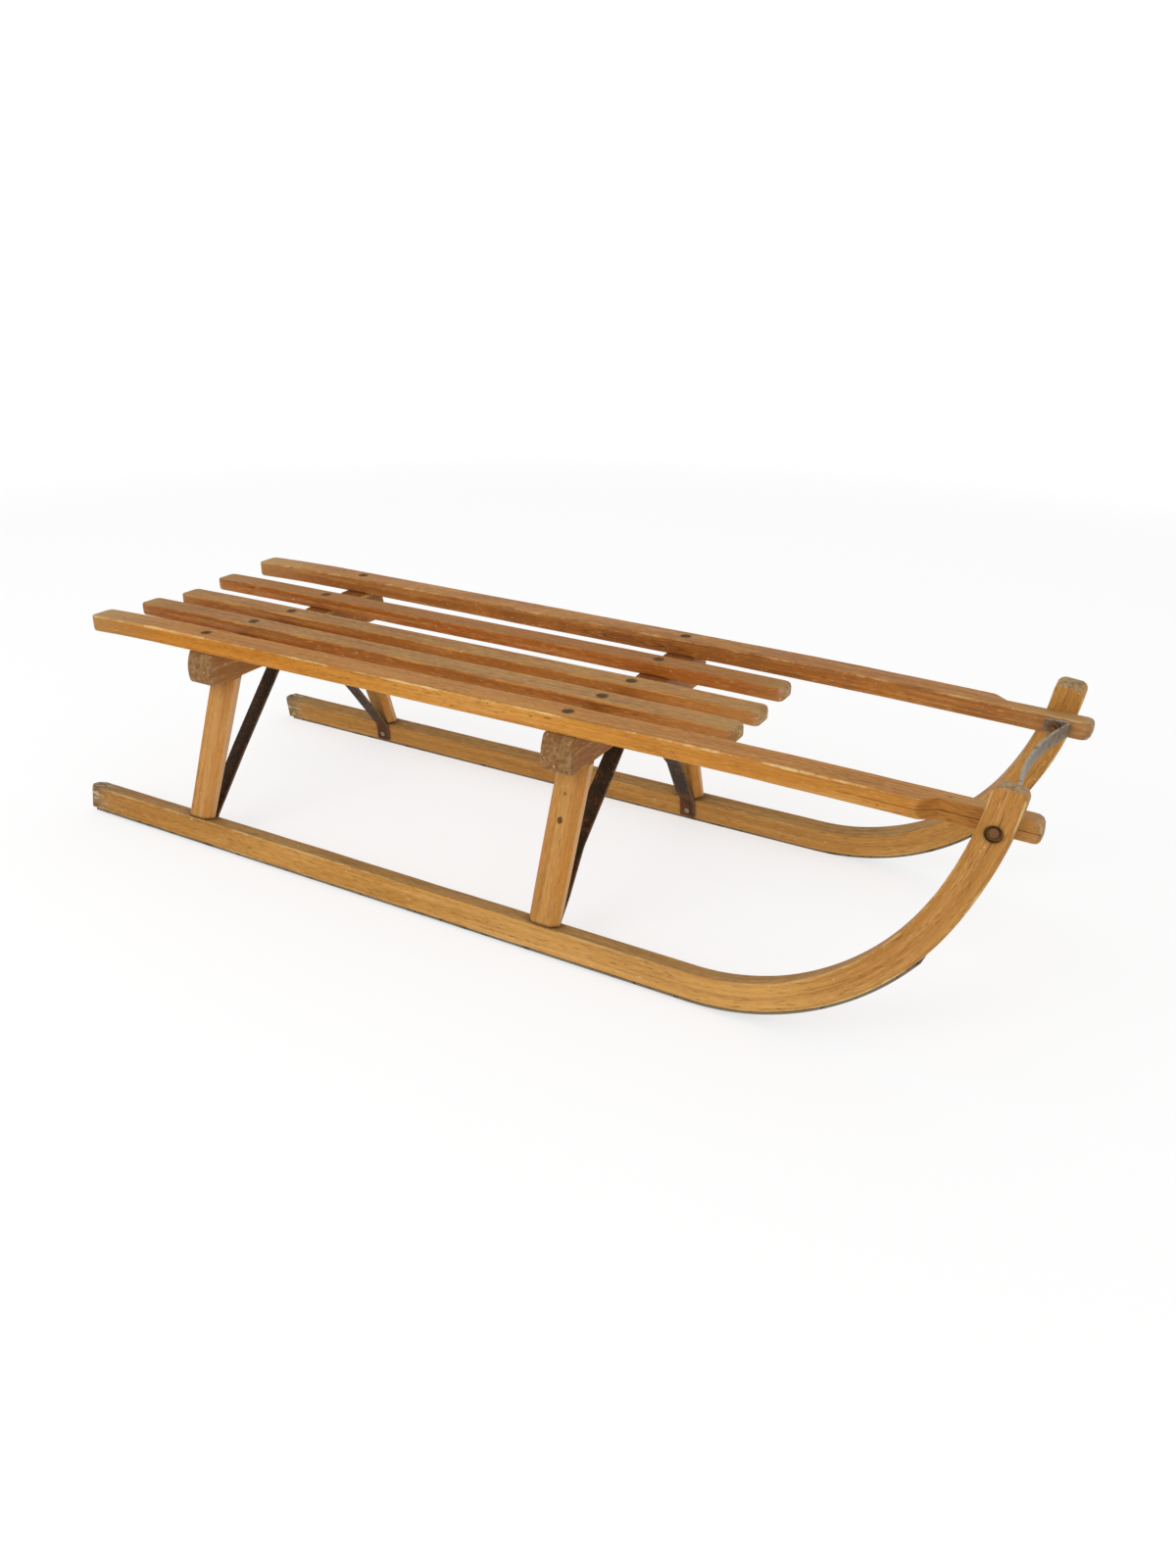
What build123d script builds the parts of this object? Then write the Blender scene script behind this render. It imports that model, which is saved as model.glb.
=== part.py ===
from build123d import *
from math import cos, radians, sin, sqrt, tan
import os

os.makedirs("parts", exist_ok=True)

# Frame: X forward to the horns, Y to the left, Z up, ground at Z 0, in mm.

# Runners, each standing in a plane that leans inward going up
lean = 8.66
half_track = 196.9
runner_thick = 23.2
runner_depth = 28.8
runner_rear_x = -564.5
bend_x = 274.5
bend_radius = 265.4
bend_angle = 61.5
horn_radius = 376.9
horn_end_angle = 84.0
horn_swell = 1.9
horn_corner = 8.5
rear_chamfer = 8.0
runner_edge = 1.5
runner_long_edge = 94.0

# Steel shoes under the runners
shoe_thick = 2.3
shoe_inset = 1.0
shoe_rear_gap = 14.0
shoe_end_angle = 53.6

# Crosspieces
cross_x_rear = -373.5
cross_x_front = 106.5
cross_width = 38.0
cross_under_z = 196.0
cross_rail_seat = 235.4
cross_mid_seat = 232.0
cross_centre_seat = 227.4
cross_top_inset = 41.5
cross_belly_inset = 34.4
cross_foot_inset = 36.5
cross_belly_z = 218.0
cross_corner = 6.0
seat_margin = 1.5

# Outer rails, straight in plan and closer together at the front
rail_inset_rear = 52.8
rail_inset_front = 58.5
rail_width = 33.0
rail_thick = 20.0
rail_rear_x = -549.5
rail_overhang = 35.7
rail_bend_start = 136.5
rail_bend_end = 426.5
rail_front_radius = 12500.0
rail_rear_start = -403.5
rail_rear_radius = 3530.0
rail_edge = 3.0
rail_end_round = 6.0
notch_lead = 53.0
notch_scoop = 17.0

# Three inner slats
slat_pitch = 67.0
slat_width = 31.0
slat_thick = 16.0
slat_rear_x = -551.5
slat_front_x = 262.5
slat_edge = 3.0
slat_end_round = 5.0
slat_end_drop = 1.0
slat_flat_rear = -403.5
slat_flat_front = 136.5

# Legs
leg_top_inset = 40.5
leg_foot_inset = 0.8
leg_top_width = 37.5
leg_top_thick = 23.0
leg_foot_width = 36.0
leg_foot_thick = 19.5
leg_corner = 8.0
rake_rear = 4.0
rake_front = 1.0
tenon_width = 18.0
tenon_thick = 9.0
tenon_depth_top = 18.0
tenon_depth_foot = 12.0

# Flat steel braces
brace_width = 20.0
brace_forward = 2.0
brace_thick = 3.0
brace_pad_y = 2.0
brace_knee_y_rear = 32.0
brace_knee_y_front = 20.0
brace_mid_z = 98.0
brace_mid_gap_rear = 32.0
brace_mid_gap_front = 24.0
brace_low_z = 52.0
brace_low_gap = 13.0
brace_land_z = 30.0
brace_end_z = 6.0
brace_bend = 9.0
brace_screw_z = 15.0
pad_screw_y = 7.5

# Front strap
strap_thick = 3.0
strap_height = 15.0
strap_pad_rear = 9.5
strap_fold = 15.0
strap_bow = 19.0

# Horn bolts
bolt_z = 240.0
bolt_shank = 6.0
bolt_head = 10.5
bolt_head_high = 3.0
bolt_head_round = 2.4
bolt_recess = 14.0
bolt_recess_deep = 4.0
nut_across = 11.0
nut_thick = 5.0
bolt_tail = 3.0

# Wood screws
screw_head = 11.0
screw_head_high = 2.8
screw_shank = 5.0
screw_reach = 20.0
small_head = 7.0
small_head_high = 2.4
small_head_round = 1.0
small_shank = 3.6
small_reach = 12.0

# Clearance round every shank, and how far a cut runs past what it cuts
clear = 0.3
cut_over = 20.0

# An edge runs lengthwise when this share of its direction lies along X
lengthwise = 0.9

sin_lean = sin(radians(lean))
cos_lean = cos(radians(lean))
tan_lean = tan(radians(lean))
frame_z = (runner_thick - shoe_inset) * sin_lean
cross_top_half = half_track - cross_top_inset
cross_belly_half = half_track - cross_belly_inset
cross_foot_half = half_track - cross_foot_inset
rail_y_rear = half_track - rail_inset_rear
rail_y_front = half_track - rail_inset_front
wood_low = shoe_thick
wood_high = shoe_thick + runner_depth
shoe_rear_x = runner_rear_x + shoe_rear_gap
rail_top = cross_rail_seat + rail_thick
rail_taper = (rail_y_rear - rail_y_front) / (cross_x_front - cross_x_rear)
up_frame = (0, sin_lean, cos_lean)
across_frame = (0, cos_lean, -sin_lean)
to_right = (0, -1, 0)

# Right side frame, seen from outside: local x forward, local y up the lean, normal outward
side_plane = Plane(origin=(0, -half_track, frame_z), x_dir=(1, 0, 0), z_dir=(0, -cos_lean, sin_lean))
inner_plane = side_plane.offset(-runner_thick)
runner_top = Plane(origin=side_plane.from_local_coords((0, wood_high, 0)), x_dir=(1, 0, 0), z_dir=up_frame)


def arc_point(depth, swell, angle):
    radius = bend_radius - depth
    return (bend_x + swell + radius * sin(radians(angle)), bend_radius - radius * cos(radians(angle)))


def horn_centre(swell):
    run = horn_radius - bend_radius
    turn = radians(bend_angle)
    return (bend_x + swell - run * sin(turn), bend_radius + run * cos(turn))


def horn_arc_point(depth, swell, angle):
    centre = horn_centre(swell)
    radius = horn_radius - depth
    return (centre[0] + radius * sin(radians(angle)), centre[1] - radius * cos(radians(angle)))


def horn_x_at(depth, swell, height):
    centre = horn_centre(swell)
    radius = horn_radius - depth
    return centre[0] + sqrt(radius**2 - (centre[1] - height) ** 2)


bolt_up = (bolt_z - frame_z) / cos_lean
bolt_x = (horn_x_at(wood_low, horn_swell, bolt_up) + horn_x_at(wood_high, 0, bolt_up)) / 2
rail_front_x = bolt_x + rail_overhang
notch_x = bolt_x - notch_lead
horn_face_y = half_track - (bolt_z - frame_z) * tan_lean
horn_inner_y = horn_face_y - runner_thick / cos_lean
head_seat_y = horn_face_y - bolt_recess_deep


def rail_y(x):
    return rail_y_rear - rail_taper * (x - cross_x_rear)


def screw_post(x, y, top, grip, slack):
    with BuildPart() as post:
        with BuildSketch(Plane(origin=(x, y, top))):
            Circle(screw_head / 2 + slack)
        with BuildSketch(Plane(origin=(x, y, top - screw_head_high))):
            Circle(screw_shank / 2 + slack)
        loft()
        with BuildSketch(Plane(origin=(x, y, top - screw_head_high))):
            Circle(screw_shank / 2 + slack)
        extrude(amount=-(grip + screw_reach - screw_head_high - clear + slack))
    return post.part


def board_screws(cross_x, slack):
    mid_top = cross_mid_seat + slat_thick
    with BuildPart() as screws:
        add(screw_post(cross_x, -rail_y(cross_x), rail_top, rail_thick, slack))
        add(screw_post(cross_x, -slat_pitch, mid_top, slat_thick, slack))
        add(screw_post(cross_x, 0, cross_centre_seat + slat_thick, slat_thick, slack))
        add(screw_post(cross_x, slat_pitch, mid_top, slat_thick, slack))
        add(screw_post(cross_x, rail_y(cross_x), rail_top, rail_thick, slack))
    return screws.part


# Legs


def foot_centre(cross_x, rake):
    axis_y = (cross_foot_half - leg_top_inset) - half_track
    splay = -axis_y / (cross_under_z - wood_high)
    y = half_track - wood_high * sin_lean - leg_foot_inset - leg_foot_thick / 2 * sqrt(1 + splay**2)
    return Vector(cross_x - rake, -y, frame_z + wood_high * cos_lean)


def top_centre(cross_x):
    return Vector(cross_x, -(cross_foot_half - leg_top_inset), cross_under_z)


def leg_plane(cross_x, rake):
    foot = foot_centre(cross_x, rake)
    axis = top_centre(cross_x) - foot
    return Plane(origin=foot, x_dir=(axis.Z, 0, -axis.X), z_dir=axis)


def leg_length(cross_x, rake):
    return (top_centre(cross_x) - foot_centre(cross_x, rake)).length


def leg_tenons(cross_x, rake):
    with BuildPart() as tenons:
        with BuildSketch(leg_plane(cross_x, rake).offset(-tenon_depth_foot)):
            Rectangle(tenon_width, tenon_thick)
        extrude(amount=leg_length(cross_x, rake) + tenon_depth_foot + tenon_depth_top)
    return tenons.part


def leg_inner_y(cross_x, rake, z):
    foot = foot_centre(cross_x, rake)
    top = top_centre(cross_x)
    share = (z - foot.Z) / (top.Z - foot.Z)
    thick = leg_foot_thick + share * (leg_top_thick - leg_foot_thick)
    splay = (top.Y - foot.Y) / (top.Z - foot.Z)
    return -(foot.Y + share * (top.Y - foot.Y)) - thick / 2 * sqrt(1 + splay**2)


def build_leg(cross_x, rake):
    with BuildPart() as leg:
        with BuildSketch(leg_plane(cross_x, rake).offset(-cut_over)):
            RectangleRounded(leg_foot_width, leg_foot_thick, leg_corner)
        with BuildSketch(leg_plane(cross_x, rake).offset(leg_length(cross_x, rake) + cut_over)):
            RectangleRounded(leg_top_width, leg_top_thick, leg_corner)
        loft()
        split(bisect_by=Plane.XY.offset(cross_under_z), keep=Keep.BOTTOM)
        split(bisect_by=runner_top, keep=Keep.TOP)
        add(leg_tenons(cross_x, rake))
    return leg.part


# Runners and shoes

horn_turn = horn_end_angle - bend_angle
horn_tip_outer = horn_arc_point(wood_low, horn_swell, horn_end_angle)
horn_tip_inner = horn_arc_point(wood_high, 0, horn_end_angle)

with BuildPart() as bolt_way:
    with BuildSketch(Plane(origin=(bolt_x, -rail_y_front / 2, bolt_z), x_dir=(1, 0, 0), z_dir=to_right)):
        Circle(bolt_shank / 2 + clear)
    extrude(amount=half_track)

with BuildPart() as bolt_recess_way:
    with BuildSketch(Plane(origin=(bolt_x, -head_seat_y, bolt_z), x_dir=(1, 0, 0), z_dir=to_right)):
        Circle(bolt_recess / 2)
    extrude(amount=cut_over)


def brace_screw_plane(cross_x, rake):
    foot = foot_centre(cross_x, rake)
    shift = rake * (cross_under_z - brace_screw_z) / (cross_under_z - foot.Z) - brace_forward
    y = half_track - (brace_screw_z - frame_z) * tan_lean - runner_thick / cos_lean
    return Plane(origin=(cross_x - shift, -y, brace_screw_z), x_dir=(1, 0, 0), z_dir=across_frame)


def brace_screw_hole(cross_x, rake):
    with BuildPart() as hole:
        with BuildSketch(brace_screw_plane(cross_x, rake).offset(-small_reach)):
            Circle(small_shank / 2 + clear)
        extrude(amount=small_reach + cut_over)
    return hole.part


def brace_screw(cross_x, rake):
    seat = brace_screw_plane(cross_x, rake).offset(brace_thick)
    with BuildPart() as screw:
        with BuildSketch(seat):
            Circle(small_head / 2)
        extrude(amount=small_head_high)
        fillet(screw.faces().sort_by(Axis((0, 0, 0), across_frame))[-1].edges(), small_head_round)
        with BuildSketch(seat):
            Circle(small_shank / 2)
        extrude(amount=-(brace_thick + small_reach - clear))
    return screw.part


with BuildPart() as runner_right:
    with BuildSketch(side_plane):
        with BuildLine():
            Line((runner_rear_x, wood_high), (runner_rear_x, wood_low))
            Line((runner_rear_x, wood_low), arc_point(wood_low, horn_swell, 0))
            CenterArc((bend_x + horn_swell, bend_radius), bend_radius - wood_low, -90, bend_angle)
            CenterArc(horn_centre(horn_swell), horn_radius - wood_low, bend_angle - 90, horn_turn)
            Line(horn_tip_outer, horn_tip_inner)
            CenterArc(horn_centre(0), horn_radius - wood_high, bend_angle - 90, horn_turn)
            CenterArc((bend_x, bend_radius), bend_radius - wood_high, -90, bend_angle)
            Line((bend_x, wood_high), (runner_rear_x, wood_high))
        make_face()
    extrude(amount=-runner_thick)
    cross_edges = runner_right.edges().filter_by(Axis((0, 0, 0), across_frame))
    fillet(cross_edges.sort_by(Axis.Z)[-2:], horn_corner)
    rear_edges = runner_right.faces().sort_by(Axis.X)[0].edges()
    chamfer(rear_edges.filter_by(Axis((0, 0, 0), up_frame)), rear_chamfer)
    fillet(runner_right.edges().filter_by(lambda e: e.length > runner_long_edge), runner_edge)
    add(leg_tenons(cross_x_rear, rake_rear), mode=Mode.SUBTRACT)
    add(leg_tenons(cross_x_front, rake_front), mode=Mode.SUBTRACT)
    add(bolt_way.part, mode=Mode.SUBTRACT)
    add(bolt_recess_way.part, mode=Mode.SUBTRACT)
    add(brace_screw_hole(cross_x_rear, rake_rear), mode=Mode.SUBTRACT)
    add(brace_screw_hole(cross_x_front, rake_front), mode=Mode.SUBTRACT)

with BuildPart() as shoe_right:
    with BuildSketch(side_plane.offset(-shoe_inset)):
        with BuildLine():
            Line((shoe_rear_x, wood_low), (shoe_rear_x, 0))
            Line((shoe_rear_x, 0), arc_point(0, horn_swell, 0))
            CenterArc((bend_x + horn_swell, bend_radius), bend_radius, -90, shoe_end_angle)
            Line(arc_point(0, horn_swell, shoe_end_angle), arc_point(wood_low, horn_swell, shoe_end_angle))
            CenterArc((bend_x + horn_swell, bend_radius), bend_radius - wood_low, -90, shoe_end_angle)
            Line(arc_point(wood_low, horn_swell, 0), (shoe_rear_x, wood_low))
        make_face()
    extrude(amount=-(runner_thick - 2 * shoe_inset))

# Crosspieces


def build_cross(cross_x, rake):
    half_slat = slat_width / 2 + seat_margin
    with BuildPart() as cross:
        with BuildSketch(Plane(origin=(cross_x, 0, 0), x_dir=(0, 1, 0), z_dir=(1, 0, 0))):
            with BuildLine():
                Polyline(
                    (0, cross_centre_seat),
                    (half_slat, cross_centre_seat),
                    (slat_pitch - half_slat, cross_mid_seat),
                    (slat_pitch + half_slat, cross_mid_seat),
                    (rail_y_front - rail_width / 2 - seat_margin, cross_rail_seat),
                    (cross_top_half, cross_rail_seat),
                )
                ThreePointArc(
                    (cross_top_half, cross_rail_seat),
                    (cross_belly_half, cross_belly_z),
                    (cross_foot_half, cross_under_z),
                )
                Line((cross_foot_half, cross_under_z), (0, cross_under_z))
                mirror(about=Plane.YZ)
            make_face()
        extrude(amount=cross_width / 2, both=True)
        fillet(cross.edges().filter_by(Axis.X).group_by(Axis.Z)[0], cross_corner)
        add(leg_tenons(cross_x, rake), mode=Mode.SUBTRACT)
        add(mirror(leg_tenons(cross_x, rake), about=Plane.XZ, mode=Mode.PRIVATE), mode=Mode.SUBTRACT)
        add(board_screws(cross_x, clear), mode=Mode.SUBTRACT)
        with BuildSketch(Plane.XY.offset(cross_under_z)):
            with Locations((cross_x + brace_forward, -pad_screw_y), (cross_x + brace_forward, pad_screw_y)):
                Circle(small_shank / 2 + clear)
        extrude(amount=small_reach, mode=Mode.SUBTRACT)
    return cross.part


# Rails

front_run = rail_bend_end - rail_bend_start
front_fall = front_run**2 / (2 * rail_front_radius)
front_slope = front_run / rail_front_radius
tip_fall = front_fall + front_slope * (rail_front_x - rail_bend_end)
rear_run = rail_rear_start - rail_rear_x
rear_fall = rear_run**2 / (2 * rail_rear_radius)

with BuildPart() as rail_right:
    with BuildSketch(Plane.XY):
        with BuildLine():
            Polyline(
                (rail_rear_x, -rail_y(rail_rear_x) - rail_width / 2),
                (rail_front_x, -rail_y(rail_front_x) - rail_width / 2),
                (rail_front_x, -rail_y(rail_front_x) + rail_width / 2),
                (rail_rear_x, -rail_y(rail_rear_x) + rail_width / 2),
                close=True,
            )
        make_face()
    extrude(amount=rail_top + cut_over)
    with BuildSketch(Plane.XZ):
        with BuildLine():
            ThreePointArc(
                (rail_rear_x, rail_top - rear_fall),
                (rail_rear_x + rear_run / 2, rail_top - rear_fall / 4),
                (rail_rear_start, rail_top),
            )
            Line((rail_rear_start, rail_top), (rail_bend_start, rail_top))
            ThreePointArc(
                (rail_bend_start, rail_top),
                (rail_bend_start + front_run / 2, rail_top - front_fall / 4),
                (rail_bend_end, rail_top - front_fall),
            )
            Line((rail_bend_end, rail_top - front_fall), (rail_front_x, rail_top - tip_fall))
            Line((rail_front_x, rail_top - tip_fall), (rail_front_x, cross_rail_seat - tip_fall))
            Line((rail_front_x, cross_rail_seat - tip_fall), (rail_bend_end, cross_rail_seat - front_fall))
            ThreePointArc(
                (rail_bend_end, cross_rail_seat - front_fall),
                (rail_bend_start + front_run / 2, cross_rail_seat - front_fall / 4),
                (rail_bend_start, cross_rail_seat),
            )
            Line((rail_bend_start, cross_rail_seat), (rail_rear_start, cross_rail_seat))
            ThreePointArc(
                (rail_rear_start, cross_rail_seat),
                (rail_rear_x + rear_run / 2, cross_rail_seat - rear_fall / 4),
                (rail_rear_x, cross_rail_seat - rear_fall),
            )
            Line((rail_rear_x, cross_rail_seat - rear_fall), (rail_rear_x, rail_top - rear_fall))
        make_face()
    extrude(amount=half_track, both=True, mode=Mode.INTERSECT)
    fillet(rail_right.edges().filter_by(Axis.Z), rail_end_round)
    fillet(rail_right.edges().filter_by(lambda e: abs((e % 0.5).X) > lengthwise), rail_edge)
    with BuildSketch(inner_plane):
        with Locations((notch_x, 0)):
            Rectangle(
                rail_front_x - notch_x + cut_over,
                rail_top + cut_over,
                align=(Align.MIN, Align.MIN),
            )
    extrude(amount=rail_width, mode=Mode.SUBTRACT)
    with BuildSketch(Plane.XY.offset(cross_rail_seat - tip_fall - cut_over)):
        with BuildLine():
            Polyline(
                (notch_x, -horn_inner_y),
                (notch_x - notch_scoop, -rail_y(notch_x) - rail_width / 2),
                (notch_x, -rail_y(notch_x) - rail_width),
                close=True,
            )
        make_face()
    extrude(amount=rail_thick + tip_fall + 2 * cut_over, mode=Mode.SUBTRACT)
    add(bolt_way.part, mode=Mode.SUBTRACT)
    add(board_screws(cross_x_rear, clear), mode=Mode.SUBTRACT)
    add(board_screws(cross_x_front, clear), mode=Mode.SUBTRACT)

# Inner slats

slat_rear_mid = (slat_rear_x + slat_flat_rear) / 2
slat_front_mid = (slat_front_x + slat_flat_front) / 2


def build_slat(y, seat):
    top = seat + slat_thick
    with BuildPart() as slat:
        with BuildSketch(Plane.XZ.offset(-y)):
            with BuildLine():
                ThreePointArc(
                    (slat_rear_x, top - slat_end_drop),
                    (slat_rear_mid, top - slat_end_drop / 4),
                    (slat_flat_rear, top),
                )
                Line((slat_flat_rear, top), (slat_flat_front, top))
                ThreePointArc(
                    (slat_flat_front, top),
                    (slat_front_mid, top - slat_end_drop / 4),
                    (slat_front_x, top - slat_end_drop),
                )
                Line((slat_front_x, top - slat_end_drop), (slat_front_x, seat - slat_end_drop))
                ThreePointArc(
                    (slat_front_x, seat - slat_end_drop),
                    (slat_front_mid, seat - slat_end_drop / 4),
                    (slat_flat_front, seat),
                )
                Line((slat_flat_front, seat), (slat_flat_rear, seat))
                ThreePointArc(
                    (slat_flat_rear, seat),
                    (slat_rear_mid, seat - slat_end_drop / 4),
                    (slat_rear_x, seat - slat_end_drop),
                )
                Line((slat_rear_x, seat - slat_end_drop), (slat_rear_x, top - slat_end_drop))
            make_face()
        extrude(amount=slat_width / 2, both=True)
        fillet(slat.edges().filter_by(Axis.Z), slat_end_round)
        fillet(slat.edges().filter_by(lambda e: abs((e % 0.5).X) > lengthwise), slat_edge)
        add(board_screws(cross_x_rear, clear), mode=Mode.SUBTRACT)
        add(board_screws(cross_x_front, clear), mode=Mode.SUBTRACT)
    return slat.part


# Braces


def build_brace(cross_x, rake, knee_y, mid_gap):
    foot = foot_centre(cross_x, rake)
    tilt = rake / (cross_under_z - foot.Z)
    stretch = sqrt(1 + tilt**2)
    half = brace_thick / 2
    land_y = half_track + frame_z * tan_lean - (runner_thick + half) / cos_lean
    mid_y = leg_inner_y(cross_x, rake, brace_mid_z) - mid_gap
    low_y = leg_inner_y(cross_x, rake, brace_low_z) - brace_low_gap
    slant = Plane(
        origin=(cross_x + brace_forward - brace_width / 2, 0, cross_under_z),
        x_dir=(0, 1, 0),
        z_dir=(1, 0, -tilt),
    )
    with BuildPart() as brace:
        with BuildSketch(slant):
            with BuildLine():
                FilletPolyline(
                    (-brace_pad_y, -half * stretch),
                    (-knee_y, -half * stretch),
                    (-mid_y, (brace_mid_z - cross_under_z) * stretch),
                    (-low_y, (brace_low_z - cross_under_z) * stretch),
                    (-(land_y - brace_land_z * tan_lean), (brace_land_z - cross_under_z) * stretch),
                    (-(land_y - brace_end_z * tan_lean), (brace_end_z - cross_under_z) * stretch),
                    radius=brace_bend,
                )
            trace(line_width=brace_thick)
        extrude(amount=brace_width, dir=(1, 0, 0))
        add(brace_screw_hole(cross_x, rake), mode=Mode.SUBTRACT)
        with BuildSketch(Plane.XY.offset(cross_under_z)):
            with Locations((cross_x + brace_forward, -pad_screw_y)):
                Circle(small_shank / 2 + clear)
        extrude(amount=-cut_over, mode=Mode.SUBTRACT)
    return brace.part


def build_pad_screw(cross_x):
    pad = Plane(origin=(cross_x + brace_forward, -pad_screw_y, cross_under_z - brace_thick))
    with BuildPart() as screw:
        with BuildSketch(pad):
            Circle(small_head / 2)
        extrude(amount=-small_head_high)
        fillet(screw.faces().sort_by(Axis.Z)[0].edges(), small_head_round)
        with BuildSketch(pad):
            Circle(small_shank / 2)
        extrude(amount=brace_thick + small_reach - clear)
    return screw.part


# Front strap, folded back from the rails' inner faces

pad_gap = strap_thick / 2 * sqrt(1 + rail_taper**2)


def rail_inner_y(x):
    return rail_y(x) - rail_width / 2 * sqrt(1 + rail_taper**2)


fold_x = bolt_x + strap_fold
pad_rear_x = bolt_x - strap_pad_rear
fold_y = rail_inner_y(fold_x) - pad_gap
pad_rear_y = rail_inner_y(pad_rear_x) - pad_gap

with BuildPart() as front_strap:
    with BuildSketch(Plane.XY.offset(bolt_z - strap_height / 2)):
        with BuildLine():
            Line((pad_rear_x, pad_rear_y), (fold_x, fold_y))
            ThreePointArc((fold_x, fold_y), (fold_x - strap_bow, 0), (fold_x, -fold_y))
            Line((fold_x, -fold_y), (pad_rear_x, -pad_rear_y))
        trace(line_width=strap_thick)
    extrude(amount=strap_height)
    add(bolt_way.part, mode=Mode.SUBTRACT)
    add(mirror(bolt_way.part, about=Plane.XZ, mode=Mode.PRIVATE), mode=Mode.SUBTRACT)

# Horn bolts and nuts

nut_seat_y = rail_inner_y(bolt_x) - 2 * pad_gap
bolt_end_y = nut_seat_y - nut_thick - bolt_tail
nut_turn = rail_taper / sqrt(1 + rail_taper**2)

with BuildPart() as horn_bolt_right:
    with BuildSketch(Plane(origin=(bolt_x, -head_seat_y, bolt_z), x_dir=(1, 0, 0), z_dir=to_right)):
        Circle(bolt_head / 2)
    extrude(amount=bolt_head_high)
    fillet(horn_bolt_right.faces().sort_by(Axis.Y)[0].edges(), bolt_head_round)
    with BuildSketch(Plane(origin=(bolt_x, -bolt_end_y, bolt_z), x_dir=(1, 0, 0), z_dir=to_right)):
        Circle(bolt_shank / 2)
    extrude(amount=head_seat_y - bolt_end_y)

with BuildPart() as horn_nut_right:
    with BuildSketch(Plane(origin=(bolt_x, -nut_seat_y, bolt_z), x_dir=(0, 0, 1), z_dir=(-nut_turn, 1, 0))):
        RegularPolygon(nut_across / 2, 6, major_radius=False)
    extrude(amount=nut_thick)
    add(bolt_way.part, mode=Mode.SUBTRACT)

# Remaining pieces

with BuildPart() as runner_left:
    add(mirror(runner_right.part, about=Plane.XZ, mode=Mode.PRIVATE))

with BuildPart() as shoe_left:
    add(mirror(shoe_right.part, about=Plane.XZ, mode=Mode.PRIVATE))

with BuildPart() as rail_left:
    add(mirror(rail_right.part, about=Plane.XZ, mode=Mode.PRIVATE))

with BuildPart() as horn_bolt_left:
    add(mirror(horn_bolt_right.part, about=Plane.XZ, mode=Mode.PRIVATE))

with BuildPart() as horn_nut_left:
    add(mirror(horn_nut_right.part, about=Plane.XZ, mode=Mode.PRIVATE))

with BuildPart() as crosspiece_rear:
    add(build_cross(cross_x_rear, rake_rear))

with BuildPart() as crosspiece_front:
    add(build_cross(cross_x_front, rake_front))

with BuildPart() as leg_rear_right:
    add(build_leg(cross_x_rear, rake_rear))

with BuildPart() as leg_front_right:
    add(build_leg(cross_x_front, rake_front))

with BuildPart() as leg_rear_left:
    add(mirror(leg_rear_right.part, about=Plane.XZ, mode=Mode.PRIVATE))

with BuildPart() as leg_front_left:
    add(mirror(leg_front_right.part, about=Plane.XZ, mode=Mode.PRIVATE))

with BuildPart() as slat_right:
    add(build_slat(-slat_pitch, cross_mid_seat))

with BuildPart() as slat_centre:
    add(build_slat(0, cross_centre_seat))

with BuildPart() as slat_left:
    add(build_slat(slat_pitch, cross_mid_seat))

with BuildPart() as brace_rear_right:
    add(build_brace(cross_x_rear, rake_rear, brace_knee_y_rear, brace_mid_gap_rear))

with BuildPart() as brace_front_right:
    add(build_brace(cross_x_front, rake_front, brace_knee_y_front, brace_mid_gap_front))

with BuildPart() as brace_rear_left:
    add(mirror(brace_rear_right.part, about=Plane.XZ, mode=Mode.PRIVATE))

with BuildPart() as brace_front_left:
    add(mirror(brace_front_right.part, about=Plane.XZ, mode=Mode.PRIVATE))

with BuildPart() as slat_screws:
    add(board_screws(cross_x_rear, 0))
    add(board_screws(cross_x_front, 0))

with BuildPart() as brace_screws:
    for x, rake in ((cross_x_rear, rake_rear), (cross_x_front, rake_front)):
        add(brace_screw(x, rake))
        add(mirror(brace_screw(x, rake), about=Plane.XZ, mode=Mode.PRIVATE))
        add(build_pad_screw(x))
        add(mirror(build_pad_screw(x), about=Plane.XZ, mode=Mode.PRIVATE))

runner_right.part.label = "runner_right"
export_step(runner_right.part, "parts/runner_right.step")
runner_left.part.label = "runner_left"
export_step(runner_left.part, "parts/runner_left.step")
shoe_right.part.label = "runner_shoe_right"
export_step(shoe_right.part, "parts/runner_shoe_right.step")
shoe_left.part.label = "runner_shoe_left"
export_step(shoe_left.part, "parts/runner_shoe_left.step")
crosspiece_rear.part.label = "crosspiece_rear"
export_step(crosspiece_rear.part, "parts/crosspiece_rear.step")
crosspiece_front.part.label = "crosspiece_front"
export_step(crosspiece_front.part, "parts/crosspiece_front.step")
leg_rear_right.part.label = "leg_rear_right"
export_step(leg_rear_right.part, "parts/leg_rear_right.step")
leg_rear_left.part.label = "leg_rear_left"
export_step(leg_rear_left.part, "parts/leg_rear_left.step")
leg_front_right.part.label = "leg_front_right"
export_step(leg_front_right.part, "parts/leg_front_right.step")
leg_front_left.part.label = "leg_front_left"
export_step(leg_front_left.part, "parts/leg_front_left.step")
rail_right.part.label = "side_rail_right"
export_step(rail_right.part, "parts/side_rail_right.step")
rail_left.part.label = "side_rail_left"
export_step(rail_left.part, "parts/side_rail_left.step")
slat_right.part.label = "slat_right"
export_step(slat_right.part, "parts/slat_right.step")
slat_centre.part.label = "slat_centre"
export_step(slat_centre.part, "parts/slat_centre.step")
slat_left.part.label = "slat_left"
export_step(slat_left.part, "parts/slat_left.step")
brace_rear_right.part.label = "brace_rear_right"
export_step(brace_rear_right.part, "parts/brace_rear_right.step")
brace_rear_left.part.label = "brace_rear_left"
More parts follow.
